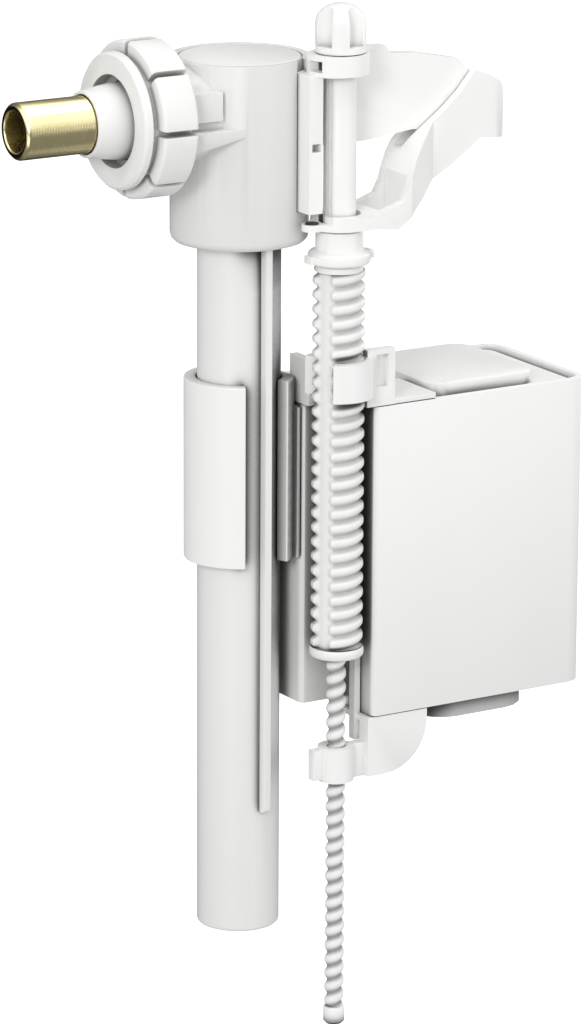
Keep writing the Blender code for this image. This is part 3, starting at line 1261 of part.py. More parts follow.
def lower_clip(float_axis):
    """The clip on the thin tail, with its web under the float and the rib that keys it in the notch.
    It is cut with the tail's thread."""
    bottom = LOWER_CLIP_TOP - LOWER_CLIP_HEIGHT
    ring_low = (SPINDLE_X, SPINDLE_Y, bottom)
    ring_high = (SPINDLE_X, SPINDLE_Y, LOWER_CLIP_TOP)
    clip = rod("lower_clip", float_axis, THIN_CREST + GAP + CLIP_WALL, ring_low, ring_high, False, 24)
    neck_low = (SPINDLE_X + THIN_CREST, SPINDLE_Y - NECK_THICKNESS / 2, bottom)
    neck_high = (WEB_LEFT + GAP, SPINDLE_Y + NECK_THICKNESS / 2, LOWER_CLIP_TOP)
    join(clip, block("clip_neck", float_axis, neck_low, neck_high, True))
    web_top = FLOAT_BOTTOM - GAP
    web_outline = [(WEB_LEFT, bottom), (WEB_LEFT, web_top), (WEB_RIGHT, web_top)]
    web_outline += arc((WEB_RIGHT - WEB_CURVE, bottom + WEB_CURVE), WEB_CURVE, 0, -math.pi / 2, 8)
    web_back = WEB_FRONT + WEB_THICKNESS
    join(clip, slab("web", float_axis, web_outline, WEB_FRONT, web_back, "XZ", tool=True))
    flange_low = (WEB_LEFT, WEB_FRONT, web_top - WEB_FLANGE_THICKNESS)
    flange_high = (WEB_RIGHT, WEB_FLANGE_BACK, web_top)
    join(clip, block("web_flange", float_axis, flange_low, flange_high, True))
    rib_right = NOTCH_RIGHT - GAP
    rib_low = (rib_right - RIB_WIDTH, RIB_FRONT, RIB_BOTTOM)
    join(clip, block("notch_rib", float_axis, rib_low, (rib_right, RIB_BACK, RIB_TOP), True))
    tab_low = (SPINDLE_X - LOWER_CLIP_TAB, SPINDLE_Y - NECK_THICKNESS / 2, bottom + MERGE)
    tab_high = (SPINDLE_X - THIN_CREST, SPINDLE_Y + NECK_THICKNESS / 2, LOWER_CLIP_TOP - GAP)
    join(clip, block("clip_tab", float_axis, tab_low, tab_high, True))
    cut_thread(clip, float_axis, THIN_ROOT, THIN_CREST, THIN_BOTTOM, bottom, LOWER_CLIP_TOP, thin_angles())
    finish(clip, make_material("lower_clip_plastic", WHITE, 0.45))


def build():
    shoulder = make_axis("inlet_shoulder", (0, 0, 0))
    nut_axis = make_axis("nut_axis", (NUT_FRONT, 0, 0))
    pipe_axis = make_axis("downpipe_axis", (INLET_REACH, 0, INLET_DROP))
    pivot_axis = make_axis("lever_pivot_axis", (PIVOT_X, 0, PIVOT_Z), pipe_axis)
    spindle_axis = make_axis("spindle_axis", (SPINDLE_X, SPINDLE_Y, 0), pipe_axis)
    float_axis = make_axis("float_slide_axis", (0, 0, 0), pipe_axis)

    spigot_front = inlet_pieces(shoulder)
    union_nut(nut_axis)
    seal_top = body_pieces(pipe_axis, spigot_front)
    downpipe_pieces(pipe_axis, seal_top)
    bracket_pieces(pipe_axis, pivot_axis)
    lever_pieces(pivot_axis)
    swivel_collar(spindle_axis)
    spindle_pieces(spindle_axis)
    float_pieces(float_axis)
    upper_clip(float_axis)
    lower_clip(float_axis)


clear_scene()
PARTS = make_collection("toilet_fill_valve")
TOOLS = make_collection("shaping_tools")
build()
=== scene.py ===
"""Looks of the toilet fill valve: finishes, fine threads, rounded surfaces, light and camera, round the
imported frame. Lengths are in metres unless a name says otherwise."""

import json
import math

import bmesh
import bpy
from mathutils import Matrix, Vector

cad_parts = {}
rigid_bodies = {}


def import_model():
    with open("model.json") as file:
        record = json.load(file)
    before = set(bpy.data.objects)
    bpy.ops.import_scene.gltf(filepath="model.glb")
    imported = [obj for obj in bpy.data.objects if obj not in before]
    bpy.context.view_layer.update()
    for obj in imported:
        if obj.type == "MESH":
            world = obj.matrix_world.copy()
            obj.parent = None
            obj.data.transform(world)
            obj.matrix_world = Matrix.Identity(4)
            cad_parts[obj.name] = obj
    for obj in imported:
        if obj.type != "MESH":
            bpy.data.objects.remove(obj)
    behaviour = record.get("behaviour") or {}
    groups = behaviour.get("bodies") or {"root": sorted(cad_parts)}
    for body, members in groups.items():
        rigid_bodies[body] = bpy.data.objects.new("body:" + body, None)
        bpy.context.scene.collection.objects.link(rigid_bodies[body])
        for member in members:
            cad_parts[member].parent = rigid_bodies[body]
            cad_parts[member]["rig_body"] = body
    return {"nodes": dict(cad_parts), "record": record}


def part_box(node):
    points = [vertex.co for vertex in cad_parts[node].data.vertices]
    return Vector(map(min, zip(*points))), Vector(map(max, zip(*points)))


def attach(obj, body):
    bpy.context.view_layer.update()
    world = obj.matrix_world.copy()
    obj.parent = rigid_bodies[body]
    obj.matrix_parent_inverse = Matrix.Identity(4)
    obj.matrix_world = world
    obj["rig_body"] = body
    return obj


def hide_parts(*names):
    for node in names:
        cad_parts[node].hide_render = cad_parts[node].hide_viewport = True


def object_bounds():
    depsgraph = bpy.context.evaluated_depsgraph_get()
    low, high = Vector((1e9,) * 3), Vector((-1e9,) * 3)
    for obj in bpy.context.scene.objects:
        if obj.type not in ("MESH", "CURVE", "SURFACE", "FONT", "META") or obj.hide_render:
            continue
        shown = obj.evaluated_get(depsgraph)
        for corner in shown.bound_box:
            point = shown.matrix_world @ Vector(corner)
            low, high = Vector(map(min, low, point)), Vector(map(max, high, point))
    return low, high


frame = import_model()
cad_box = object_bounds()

MM = 0.001

# The photograph's camera, fitted to the valve: angles in degrees, focal length and places in pixels.
# The point that it is aimed at lies on the downpipe's axis
IMAGE_WIDTH = 584
IMAGE_HEIGHT = 1024
FOCAL_PIXELS = 5356.0
SENSOR_MM = 36.0
CAMERA_AZIMUTH = -31.4
CAMERA_ELEVATION = 15.3
CAMERA_ROLL = 0.28
CAMERA_DISTANCE = 1.556
AIM_POINT = (52.1 * MM, 0.0, 1.8 * MM)
AIM_PIXEL = (239.5, 101.0)
CLIP_NEAR = 0.05
CLIP_FAR = 30.0

# The spindle's threads, in finer form than the frame's. Heights are above the inlet's axis. The coarse
# thread has two plain strips, and a thread's flanks are shares of its pitch
THREAD_PITCH = 4.4 * MM
THREAD_CLIMB = 0.42
THREAD_FALL = 0.36
COARSE_CREST = 7.75 * MM
COARSE_ROOT = 6.3 * MM
COARSE_TOP = -45.6 * MM
COARSE_BOTTOM = -160.9 * MM
COARSE_COLUMNS = 72
COARSE_ROWS = 10
THIN_CREST = 2.93 * MM
THIN_ROOT = 2.1 * MM
THIN_TOP = -162.5 * MM
THIN_BOTTOM = -276.6 * MM
THIN_COLUMNS = 36
THIN_ROWS = 8
STRIP_AZIMUTH = math.radians(-71.0)
STRIP_HALF = math.radians(17.0)
STRIP_EDGE = math.radians(7.0)

# The turned parts of the spindle: shaft with its shoulder, end collar and end block
TURNED_EDGE = 0.4 * MM
TURNED_SIDES = 64
SHAFT_RADIUS = 4.8 * MM
SHAFT_TOP = 17.8 * MM
SHAFT_BOTTOM = -46.4 * MM
SHOULDER_RADIUS = 7.2 * MM
SHOULDER_TOP = -44.5 * MM
END_COLLAR_RADIUS = 8.1 * MM
END_COLLAR_HEIGHT = 2.6 * MM
END_BLOCK_RADIUS = 3.2 * MM
END_BLOCK_TOP = -274.2 * MM
END_BLOCK_BOTTOM = -279.6 * MM
END_BLOCK_SIDES = 32

# Pockets: two flutes in the shaft, and one in the front of the bracket's column
FLUTE_TOP = 11.8 * MM
FLUTE_BOTTOM = -29.6 * MM
FLUTE_WIDTH = 2.6 * MM
FLUTE_DEPTH = 1.9 * MM
COLUMN_POCKET_PLACE = (63.2 * MM, -25.0 * MM, -9.0 * MM)
COLUMN_POCKET_SIZE = (3.0 * MM, 6.0 * MM, 2.4 * MM)
POCKET_CORNER = 0.5 * MM
POCKET_CORNER_SEGMENTS = 3

# Edge roundings of the surfaces that stand for the CAD nodes, in millimetres
EDGE_WIDTHS = {
    "inlet_tail": 0.3,
    "inlet_bush": 0.35,
    "union_nut": 0.4,
    "valve_body": 0.45,
    "body_cap": 2.2,
    "downpipe": 0.3,
    "lever_bracket": 0.5,
    "lever": 0.6,
    "lever_pin": 0.3,
    "swivel_collar": 0.3,
    "spindle_knob": 0.4,
    "float_shell": 0.4,
    "float_lid": 0.4,
    "float_guide": 0.4,
    "upper_clip": 0.3,
    "lower_clip": 0.3,
    "float_foot": 0.35,
}
EDGE_SEGMENTS = 2
EDGE_ANGLE = math.radians(32.0)

# How meshes are cleaned: points that are this near and faces that are this flat are joined, and slivers
# go. Edges past the last two angles are shaded sharp
WELD_DISTANCE = 1e-6
SLIVER_LENGTH = 1e-7
FLAT_ANGLE = math.radians(1.0)
SHARP_ON_NODES = math.radians(60.0)
SHARP_ON_FINE = math.radians(50.0)

# What all plastics share: a drift of tone where the melt flowed, the tint of the shade painted in recesses,
# gloss that varies, and a fine grain
FLOW_SCALE = 34.0
FLOW_DETAIL = 4.0
FLOW_STRETCH = (1.0, 1.0, 0.35)
FLOW_TONE = (0.955, 0.955, 0.945)
PAINTED_SHADE_TINT = (1.0, 1.0, 0.95)
GLOSS_SCALE = 150.0
GLOSS_BELOW = 0.06
GLOSS_ABOVE = 0.08
GRAIN_SCALE = 1700.0
GRAIN_DETAIL = 2.0
GRAIN_HEIGHT = 0.04 * MM
NOISE_ROUGHNESS = 0.55
SPECULAR_LEVEL = 0.22
SUBSURFACE_WEIGHT = 0.04
SUBSURFACE_RADIUS = (3.0 * MM, 3.0 * MM, 2.5 * MM)

# Each plastic's tone, roughness and grain, and the shade painted into its colour in recesses: the share
# of the tone that is left there, how far off a wall still shades, and the openness at which the painted
# shade is full and is gone. A plastic is for a material slot, a node or a piece, and is listed by that name
BRIGHT = (0.87, 0.87, 0.865)
SPINDLE_WHITE = (0.86, 0.86, 0.85)
PLASTICS = {
    "valve_plastic": dict(
        name="valve_plastic",
        tone=(0.84, 0.84, 0.83), roughness=0.36, grain=0.18, deep=0.4, reach=8.0 * MM, closed=0.2, clear=0.7
    ),
    "valve_body": dict(
        name="body_plastic",
        tone=(0.76, 0.76, 0.75), roughness=0.36, grain=0.18, deep=0.5, reach=6.0 * MM, closed=0.1, clear=0.6
    ),
    "arm_plastic": dict(
        name="arm_plastic",
        tone=(0.9, 0.9, 0.89), roughness=0.34, grain=0.15, deep=0.25, reach=2.5 * MM, closed=0.1, clear=0.6
    ),
    "spindle_plastic": dict(
        name="spindle_plastic",
        tone=SPINDLE_WHITE, roughness=0.34, grain=0.15, deep=0.1, reach=8.0 * MM, closed=0.35, clear=0.95
    ),
    "spindle_shaft": dict(
        name="shaft_plastic",
        tone=SPINDLE_WHITE, roughness=0.34, grain=0.15, deep=0.9, reach=4.0 * MM, closed=0.05, clear=0.5
    ),
    "spindle_knob": dict(
        name="knob_plastic",
        tone=SPINDLE_WHITE, roughness=0.34, grain=0.15, deep=0.5, reach=6.0 * MM, closed=0.3, clear=0.8
    ),
    "spindle_thin_thread": dict(
        name="tail_plastic",
        tone=(0.87, 0.87, 0.86), roughness=0.34, grain=0.15, deep=0.05, reach=3.0 * MM, closed=0.3, clear=0.9,
        region="groove"
    ),
    "pipe_plastic": dict(
        name="pipe_plastic",
        tone=(0.82, 0.825, 0.815), roughness=0.3, grain=0.1, deep=0.04, reach=14.0 * MM, closed=0.5,
        clear=0.94, region="rail"
    ),
    "float_plastic": dict(
        name="float_plastic",
        tone=BRIGHT, roughness=0.42, grain=0.25, deep=0.5, reach=4.0 * MM, closed=0.05, clear=0.5
    ),
    "float_shell": dict(
        name="float_shell_plastic",
        tone=BRIGHT, roughness=0.42, grain=0.25, deep=0.08, reach=4.0 * MM, closed=0.3, clear=0.8,
        region="notch"
    ),
    "float_guide": dict(
        name="guide_plastic",
        tone=BRIGHT, roughness=0.42, grain=0.25, deep=0.2, reach=10.0 * MM, closed=0.3, clear=0.85
    ),
    "float_lid": dict(
        name="lid_plastic",
        tone=BRIGHT, roughness=0.42, grain=0.25, deep=0.25, reach=6.0 * MM, closed=0.2, clear=0.75
    ),
    # The foot's tone is set low, and its shade reaches far, as painted shade for the shadow under the float
    "float_foot": dict(
        name="foot_plastic",
        tone=(0.6, 0.6, 0.595), roughness=0.42, grain=0.25, deep=0.05, reach=20.0 * MM, closed=0.5, clear=1.0
    ),
    "inner_plastic": dict(
        name="inner_plastic",
        tone=(0.7, 0.7, 0.68), roughness=0.45, grain=0.2, deep=0.3, reach=10.0 * MM, closed=0.05, clear=0.5
    ),
}
SHADE_SAMPLES = 12

# Regions where a plastic's painted shade differs. The walls of the float's notch lie below the first two
# places
NOTCH_RIGHT = 83.5 * MM
NOTCH_BACK = -12.1 * MM
NOTCH_REACH = 25.0 * MM
NOTCH_CLOSED = 0.1
NOTCH_CLEAR = 0.85

# The rail on the downpipe stands before this place. The painted shade beside it fades out between two places
# on its left, and between two towards the pipe's back; elsewhere the pipe has a milder painted shade
RAIL_BACK = -12.55 * MM
SHADE_LEFT = (43.0 * MM, 48.0 * MM)
SHADE_BACK = (-2.0 * MM, -8.0 * MM)
PIPE_REACH = 4.0 * MM
PIPE_CLEAR = 0.5

# The share of the tone that is left where shade is painted at the bottom of the thin thread's groove
GROOVE_PAINTED_SHADE = 0.3

# Brass: stain between two tones, shade painted near black in the bore and on the cut end before one place,
# and rings from turning
BRASS_STAIN_SCALE = 90.0
BRASS_STAIN_DETAIL = 5.0
BRASS_DARK = (0.66, 0.56, 0.27, 1.0)
BRASS_LIGHT = (0.86, 0.79, 0.49, 1.0)
BRASS_PAINTED_BORE_SHADE = (0.03, 0.02, 0.01, 1.0)
BRASS_BORE_REACH = 12.0 * MM
BRASS_BORE_CLOSED = 0.1
BRASS_BORE_CLEAR = 0.75
BRASS_PAINTED_END_SHADE = (0.1, 0.075, 0.04, 1.0)
BRASS_END_PLACE = -22.35 * MM
BRASS_GLOSS_SCALE = 260.0
BRASS_GLOSS = (0.2, 0.32)
RING_SCALE = 620.0
RING_DISTORTION = 0.5
RING_STRENGTH = 0.3
RING_HEIGHT = 0.03 * MM

# Rubber: two tones of black and a matt skin
RUBBER_SCALE = 120.0
RUBBER_DARK = (0.02, 0.02, 0.021, 1.0)
RUBBER_LIGHT = (0.045, 0.045, 0.047, 1.0)
RUBBER_ROUGHNESS = 0.75
RUBBER_GRAIN_SCALE = 1500.0
RUBBER_GRAIN = 0.4
RUBBER_GRAIN_HEIGHT = 0.05 * MM

# The floor, just below the valve
FLOOR_SIZE = 12.0
FLOOR_MIDDLE = (60.0 * MM, 0.0)
FLOOR_DROP = 2.0 * MM
FLOOR_COLOUR = (0.93, 0.93, 0.93, 1.0)
FLOOR_ROUGHNESS = 0.9
FLOOR_SPECULAR = 0.1
FLOOR_GLOW = 0.45

# The studio's light by its direction along an axis: from one share to another, and its strength at each
SOFT_LIGHT = ("Z", -0.6, 0.6, 0.8, 0.93)
GLOSS_LIGHT = ("Z", 0.0, 0.5, 0.35, 2.2)
GLOSS_BEHIND = ("Y", 0.2, 0.75, 1.0, 0.1)
WHITE = (1.0, 1.0, 1.0, 1.0)

# Lamps: place from the valve's middle, side of the square, and power in watts
LAMPS = {
    "key": ((-1.05, -0.88, 0.6), 0.35, 6.5),
    "top": ((0.2, -0.3, 1.6), 1.0, 7.0),
    "fill": ((0.8, -1.4, 0.1), 0.9, 3.5),
    "low": ((-1.2, -0.8, -0.5), 0.9, 5.0),
    "rim": ((1.4, 0.3, 0.2), 0.6, 4.0),
}


def make_camera():
    """Puts the camera where the photograph was taken from."""
    azimuth = math.radians(CAMERA_AZIMUTH)
    elevation = math.radians(CAMERA_ELEVATION)
    back = Vector((
        math.sin(azimuth) * math.cos(elevation),
        -math.cos(azimuth) * math.cos(elevation),
        math.sin(elevation),
    ))
    level = Vector((math.cos(azimuth), math.sin(azimuth), 0.0))
    roll = Matrix.Rotation(math.radians(CAMERA_ROLL), 3, back)
    right = roll @ level
    up = back.cross(right)
    across = (AIM_PIXEL[0] - IMAGE_WIDTH / 2) / FOCAL_PIXELS * CAMERA_DISTANCE
    down = (AIM_PIXEL[1] - IMAGE_HEIGHT / 2) / FOCAL_PIXELS * CAMERA_DISTANCE
    data = bpy.data.cameras.new("camera")
    data.sensor_width = SENSOR_MM
    data.lens = FOCAL_PIXELS * SENSOR_MM / IMAGE_HEIGHT
    data.clip_start = CLIP_NEAR
    data.clip_end = CLIP_FAR
    camera = bpy.data.objects.new("camera", data)
    bpy.context.scene.collection.objects.link(camera)
    camera.location = Vector(AIM_POINT) + back * CAMERA_DISTANCE - right * across + up * down
    camera.rotation_mode = "QUATERNION"
    camera.rotation_quaternion = Matrix((right, up, back)).transposed().to_quaternion()
    bpy.context.scene.camera = camera


class Nodes:
    """A short way to add and link the nodes of one material."""

    def __init__(self, material):
        material.use_nodes = True
        self.tree = material.node_tree
        self.shader = self.tree.nodes["Principled BSDF"]

    def add(self, kind):
        return self.tree.nodes.new(kind)

    def link(self, source, target):
        self.tree.links.new(source, target)

    def set(self, name, value):
        self.shader.inputs[name].default_value = value

    def noise(self, scale, detail=3.0, stretch=(1.0, 1.0, 1.0)):
        """Noise in the object's own coordinates, drawn out along an axis by the stretch."""
        coordinates = self.add("ShaderNodeTexCoord")
        mapping = self.add("ShaderNodeMapping")
        mapping.inputs["Scale"].default_value = stretch
        noise = self.add("ShaderNodeTexNoise")
        noise.inputs["Scale"].default_value = scale
        noise.inputs["Detail"].default_value = detail
        noise.inputs["Roughness"].default_value = NOISE_ROUGHNESS
        self.link(coordinates.outputs["Object"], mapping.inputs["Vector"])
        self.link(mapping.outputs["Vector"], noise.inputs["Vector"])
        return noise.outputs["Fac"]

    def spread(self, value, low, high):
        """Maps 0..1 to low..high."""
        reach = self.add("ShaderNodeMapRange")
        reach.inputs["To Min"].default_value = low
        reach.inputs["To Max"].default_value = high
        self.link(value, reach.inputs["Value"])
        return reach.outputs["Result"]

    def fading(self, value, places):
        """0 at the first of two places, rising smoothly to 1 at the second."""
        fade = self.add("ShaderNodeMapRange")
        fade.interpolation_type = "SMOOTHSTEP"
        fade.inputs["From Min"].default_value = places[0]
        fade.inputs["From Max"].default_value = places[1]
        self.link(value, fade.inputs["Value"])
        return fade.outputs["Result"]

    def openness(self, distance, closed, clear):
        """0 in a recess whose walls stand closer than the distance, 1 on an open surface."""
        shade = self.add("ShaderNodeAmbientOcclusion")
        shade.samples = SHADE_SAMPLES
        shade.inputs["Distance"].default_value = distance
        return self.fading(shade.outputs["AO"], (closed, clear))

    def either(self, test, no, yes):
        """The first of two values where the test is 0, the second where it is 1, and a mix between."""
        mix = self.add("ShaderNodeMix")
        self.link(test, mix.inputs["Factor"])
        self.link(no, mix.inputs["A"])
        self.link(yes, mix.inputs["B"])
        return mix.outputs["Result"]

    def math(self, operation, first, second):
        """Two values combined, each a number or another node's output."""
        node = self.add("ShaderNodeMath")
        node.operation = operation
        for socket, value in zip(node.inputs, (first, second)):
            if isinstance(value, float):
                socket.default_value = value
            else:
                self.link(value, socket)
        return node.outputs["Value"]

    def place(self, axis):
        """A coordinate of the object at rest."""
        coordinates = self.add("ShaderNodeTexCoord")
        split = self.add("ShaderNodeSeparateXYZ")
        self.link(coordinates.outputs["Object"], split.inputs["Vector"])
        return split.outputs[axis]

    def in_notch(self):
        """1 on the walls of the float's notch, where the painted shade reaches further, 0 elsewhere."""
        beside = self.math("LESS_THAN", self.place("X"), NOTCH_RIGHT)
        return self.math("MULTIPLY", beside, self.math("LESS_THAN", self.place("Y"), NOTCH_BACK))

    def out_of_groove(self):
        """1 on a thread's crest, falling to a painted shade in its groove."""
        groove = self.add("ShaderNodeAttribute")
        groove.attribute_name = "groove"
        return self.spread(groove.outputs["Fac"], 1.0, GROOVE_PAINTED_SHADE)

    def beside_rail(self):
        """1 on the downpipe's wall beside its rail, where the painted shade is strong, fading to 0 further
        off.
        """
        wall = self.math("GREATER_THAN", self.place("Y"), RAIL_BACK)
        front = self.math("MULTIPLY", wall, self.fading(self.place("Y"), SHADE_BACK))
        return self.math("MULTIPLY", front, self.fading(self.place("X"), SHADE_LEFT))

    def blend(self, value, first, second):
        """Mixes two colours, each a tuple or another node's output."""
        mix = self.add("ShaderNodeMix")
        mix.data_type = "RGBA"
        colour_sockets = [socket for socket in mix.inputs if socket.type == "RGBA"]
        for socket, colour in zip(colour_sockets, (first, second)):
            if isinstance(colour, tuple):
                socket.default_value = colour
            else:
                self.link(colour, socket)
        self.link(value, mix.inputs["Factor"])
        return next(socket for socket in mix.outputs if socket.type == "RGBA")

    def bump(self, height, strength, distance):
        bump = self.add("ShaderNodeBump")
        bump.inputs["Strength"].default_value = strength
        bump.inputs["Distance"].default_value = distance
        self.link(height, bump.inputs["Height"])
        self.link(bump.outputs["Normal"], self.shader.inputs["Normal"])


def tinted(tone, tint, share=1.0):
    """A tone times a tint and a share, as an opaque colour."""
    return (tone[0] * tint[0] * share, tone[1] * tint[1] * share, tone[2] * tint[2] * share, 1.0)


def plastic(name, tone, roughness, grain, deep, reach, closed, clear, region=None):
    """Moulded plastic: a slight drift of tone where the melt flowed, a fine skin, and shade painted into its
    colour where other walls stand within its reach. In the float's notch the painted shade has a longer
    reach, on the downpipe it is strong only beside the rail, and in a thread's groove it is deeper."""
    material = bpy.data.materials.new(name)
    nodes = Nodes(material)
    flow = nodes.noise(FLOW_SCALE, FLOW_DETAIL, FLOW_STRETCH)
    drift = nodes.blend(flow, tinted(tone, FLOW_TONE), (*tone, 1.0))
    open_share = nodes.openness(reach, closed, clear)
    if region == "notch":
        deeper = nodes.openness(NOTCH_REACH, NOTCH_CLOSED, NOTCH_CLEAR)
        open_share = nodes.either(nodes.in_notch(), open_share, deeper)
    elif region == "rail":
        milder = nodes.openness(PIPE_REACH, 0.0, PIPE_CLEAR)
        open_share = nodes.either(nodes.beside_rail(), milder, open_share)
    elif region == "groove":
        open_share = nodes.math("MULTIPLY", open_share, nodes.out_of_groove())
    # Painted shade: the colour is darkened towards a share of the tone where walls stand near
    shaded = nodes.blend(open_share, tinted(tone, PAINTED_SHADE_TINT, deep), drift)
    nodes.link(shaded, nodes.shader.inputs["Base Color"])
    gloss = nodes.spread(nodes.noise(GLOSS_SCALE), roughness - GLOSS_BELOW, roughness + GLOSS_ABOVE)
    nodes.link(gloss, nodes.shader.inputs["Roughness"])
    nodes.bump(nodes.noise(GRAIN_SCALE, GRAIN_DETAIL), grain, GRAIN_HEIGHT)
    nodes.set("Specular IOR Level", SPECULAR_LEVEL)
    nodes.set("Subsurface Weight", SUBSURFACE_WEIGHT)
    nodes.set("Subsurface Radius", SUBSURFACE_RADIUS)
    return material


def brass():
    """Turned brass: rings left by the tool round the tail, a slight warm stain, and shade painted near black
    in the bore and on the cut end.
    """
    material = bpy.data.materials.new("turned_brass")
    nodes = Nodes(material)
    yellow = nodes.blend(nodes.noise(BRASS_STAIN_SCALE, BRASS_STAIN_DETAIL), BRASS_DARK, BRASS_LIGHT)
    # Painted shade: the bore is coloured near black where its walls stand near
    outside = nodes.openness(BRASS_BORE_REACH, BRASS_BORE_CLOSED, BRASS_BORE_CLEAR)
    bore_shaded = nodes.blend(outside, BRASS_PAINTED_BORE_SHADE, yellow)
    # Painted shade: the cut end before one place is coloured near black
    shaded_end = nodes.math("LESS_THAN", nodes.place("X"), BRASS_END_PLACE)
    nodes.link(nodes.blend(shaded_end, bore_shaded, BRASS_PAINTED_END_SHADE), nodes.shader.inputs["Base Color"])
    nodes.set("Metallic", 1.0)
    gloss = nodes.spread(nodes.noise(BRASS_GLOSS_SCALE), *BRASS_GLOSS)
    nodes.link(gloss, nodes.shader.inputs["Roughness"])
    coordinates = nodes.add("ShaderNodeTexCoord")
    rings = nodes.add("ShaderNodeTexWave")
    rings.bands_direction = "X"
    rings.inputs["Scale"].default_value = RING_SCALE
    rings.inputs["Distortion"].default_value = RING_DISTORTION
    nodes.link(coordinates.outputs["Object"], rings.inputs["Vector"])
    nodes.bump(rings.outputs["Fac"], RING_STRENGTH, RING_HEIGHT)
    return material


def rubber():
    """Black rubber with a fine matt skin."""
    material = bpy.data.materials.new("black_rubber")
    nodes = Nodes(material)
    tone = nodes.blend(nodes.noise(RUBBER_SCALE), RUBBER_DARK, RUBBER_LIGHT)
    nodes.link(tone, nodes.shader.inputs["Base Color"])
    nodes.set("Roughness", RUBBER_ROUGHNESS)
    nodes.bump(nodes.noise(RUBBER_GRAIN_SCALE), RUBBER_GRAIN, RUBBER_GRAIN_HEIGHT)
    return material


def make_finishes():
    """A material for each material slot of the record, and one each for some nodes and pieces whose
    painted shade or tone differs from their slot's."""
    finishes = {"brass": brass(), "rubber": rubber()}
    for wearer, settings in PLASTICS.items():
        finishes[wearer] = plastic(**settings)
    return finishes


def slot_of(node):
    return next(row["material_slot"] for row in frame["record"]["subparts"] if row["node"] == node)


def body_of(node):
    return frame["nodes"][node]["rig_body"]


def place_piece(mesh, name, node, finishes):
    """Puts a mesh in the scene with its node's body, slot and finish, and hides the node."""
    piece = bpy.data.objects.new(name, mesh)
    bpy.context.scene.collection.objects.link(piece)
    mesh.materials.clear()
    mesh.materials.append(finishes.get(name) or finishes.get(node) or finishes[slot_of(node)])
    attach(piece, body_of(node))
    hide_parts(node)
    return piece


def mesh_of(bm, name, sharp):
    mesh = bpy.data.meshes.new(name)
    bm.to_mesh(mesh)
    bm.free()
    mesh.shade_smooth()
    mesh.set_sharp_from_angle(angle=sharp)
    return mesh


def clean_copy(node, finishes):
    """A copy of a CAD node with clean faces, which stands in its place."""
    bm = bmesh.new()
    bm.from_mesh(frame["nodes"][node].data)
    bmesh.ops.remove_doubles(bm, verts=bm.verts, dist=WELD_DISTANCE)
    bmesh.ops.dissolve_limit(
        bm, angle_limit=FLAT_ANGLE, verts=bm.verts, edges=bm.edges, use_dissolve_boundaries=False
    )
    name = node + "_surface"
    return place_piece(mesh_of(bm, name, SHARP_ON_NODES), name, node, finishes)


def round_edges(piece, width):
    bevel = piece.modifiers.new("rounded", "BEVEL")
    bevel.width = width
    bevel.segments = EDGE_SEGMENTS
    bevel.limit_method = "ANGLE"
    bevel.angle_limit = EDGE_ANGLE
    bevel.harden_normals = True


def smooth_step(value):
    value = min(max(value, 0.0), 1.0)
    return value * value * (3.0 - 2.0 * value)


def thread_rise(share):
    """How far a thread stands from its root to its crest, at a share of its pitch."""
    return smooth_step(min(share / THREAD_CLIMB, (1.0 - share) / THREAD_FALL))


def strip_rise(angle):
    """0 in the two plain strips of the coarse thread and 1 beside them."""
    offset = (angle - STRIP_AZIMUTH + math.pi / 2) % math.pi
    offset = min(offset, math.pi - offset)
    return smooth_step((offset - STRIP_HALF) / STRIP_EDGE)


def thread_surface(name, root, crest, top, bottom, columns, rows_a_turn, strips=False):
    """A right-hand thread whose rows of points climb along the helix. At the seam each row meets the
    row one turn above it."""
    first = STRIP_AZIMUTH - math.pi / 2 if strips else 0.0
    turns = math.ceil((top - bottom) / THREAD_PITCH) + 2
    bm = bmesh.new()
    # Each point's depth in the groove, which the material reads to paint shade in the groove
    groove = bm.verts.layers.float.new("groove")
    grid = []
    for step in range(turns * rows_a_turn):
        row = []
        for column in range(columns):
            share = column / columns
            angle = first + 2 * math.pi * share
            height = bottom + THREAD_PITCH * (step / rows_a_turn - 1 + share)
            rise = thread_rise(step / rows_a_turn % 1.0)
            if strips:
                rise *= strip_rise(angle)
            if height <= bottom or height >= top:
                rise = 0.0
            reach = root + (crest - root) * rise
            height = min(max(height, bottom), top)
            vert = bm.verts.new((reach * math.cos(angle), reach * math.sin(angle), height))
            vert[groove] = 1.0 - rise
            row.append(vert)
        grid.append(row)
    for low, high in zip(grid, grid[1:]):
        for column in range(columns - 1):
            bm.faces.new((low[column], low[column + 1], high[column + 1], high[column]))
    for i in range(len(grid) - rows_a_turn - 1):
        turn_above = grid[i + rows_a_turn]
        next_above = grid[i + rows_a_turn + 1]
        bm.faces.new((grid[i][-1], turn_above[0], next_above[0], grid[i + 1][-1]))
    bmesh.ops.remove_doubles(bm, verts=bm.verts, dist=WELD_DISTANCE)
    bmesh.ops.dissolve_degenerate(bm, edges=bm.edges, dist=SLIVER_LENGTH)
    bmesh.ops.recalc_face_normals(bm, faces=bm.faces)
    return mesh_of(bm, name, SHARP_ON_FINE)


def lathe(name, profile, sides=TURNED_SIDES):
    """A profile of (radius, height) points, written down its outer side, turned about Z."""
    bm = bmesh.new()
    points = [bm.verts.new((radius, 0.0, height)) for radius, height in profile]
    edges = [bm.edges.new(pair) for pair in zip(points, points[1:])]
    bmesh.ops.spin(bm, geom=points + edges, axis=(0, 0, 1), cent=(0, 0, 0), angle=2 * math.pi, steps=sides)
    bmesh.ops.remove_doubles(bm, verts=bm.verts, dist=WELD_DISTANCE)
    bmesh.ops.recalc_face_normals(bm, faces=bm.faces)
    return mesh_of(bm, name, SHARP_ON_FINE)


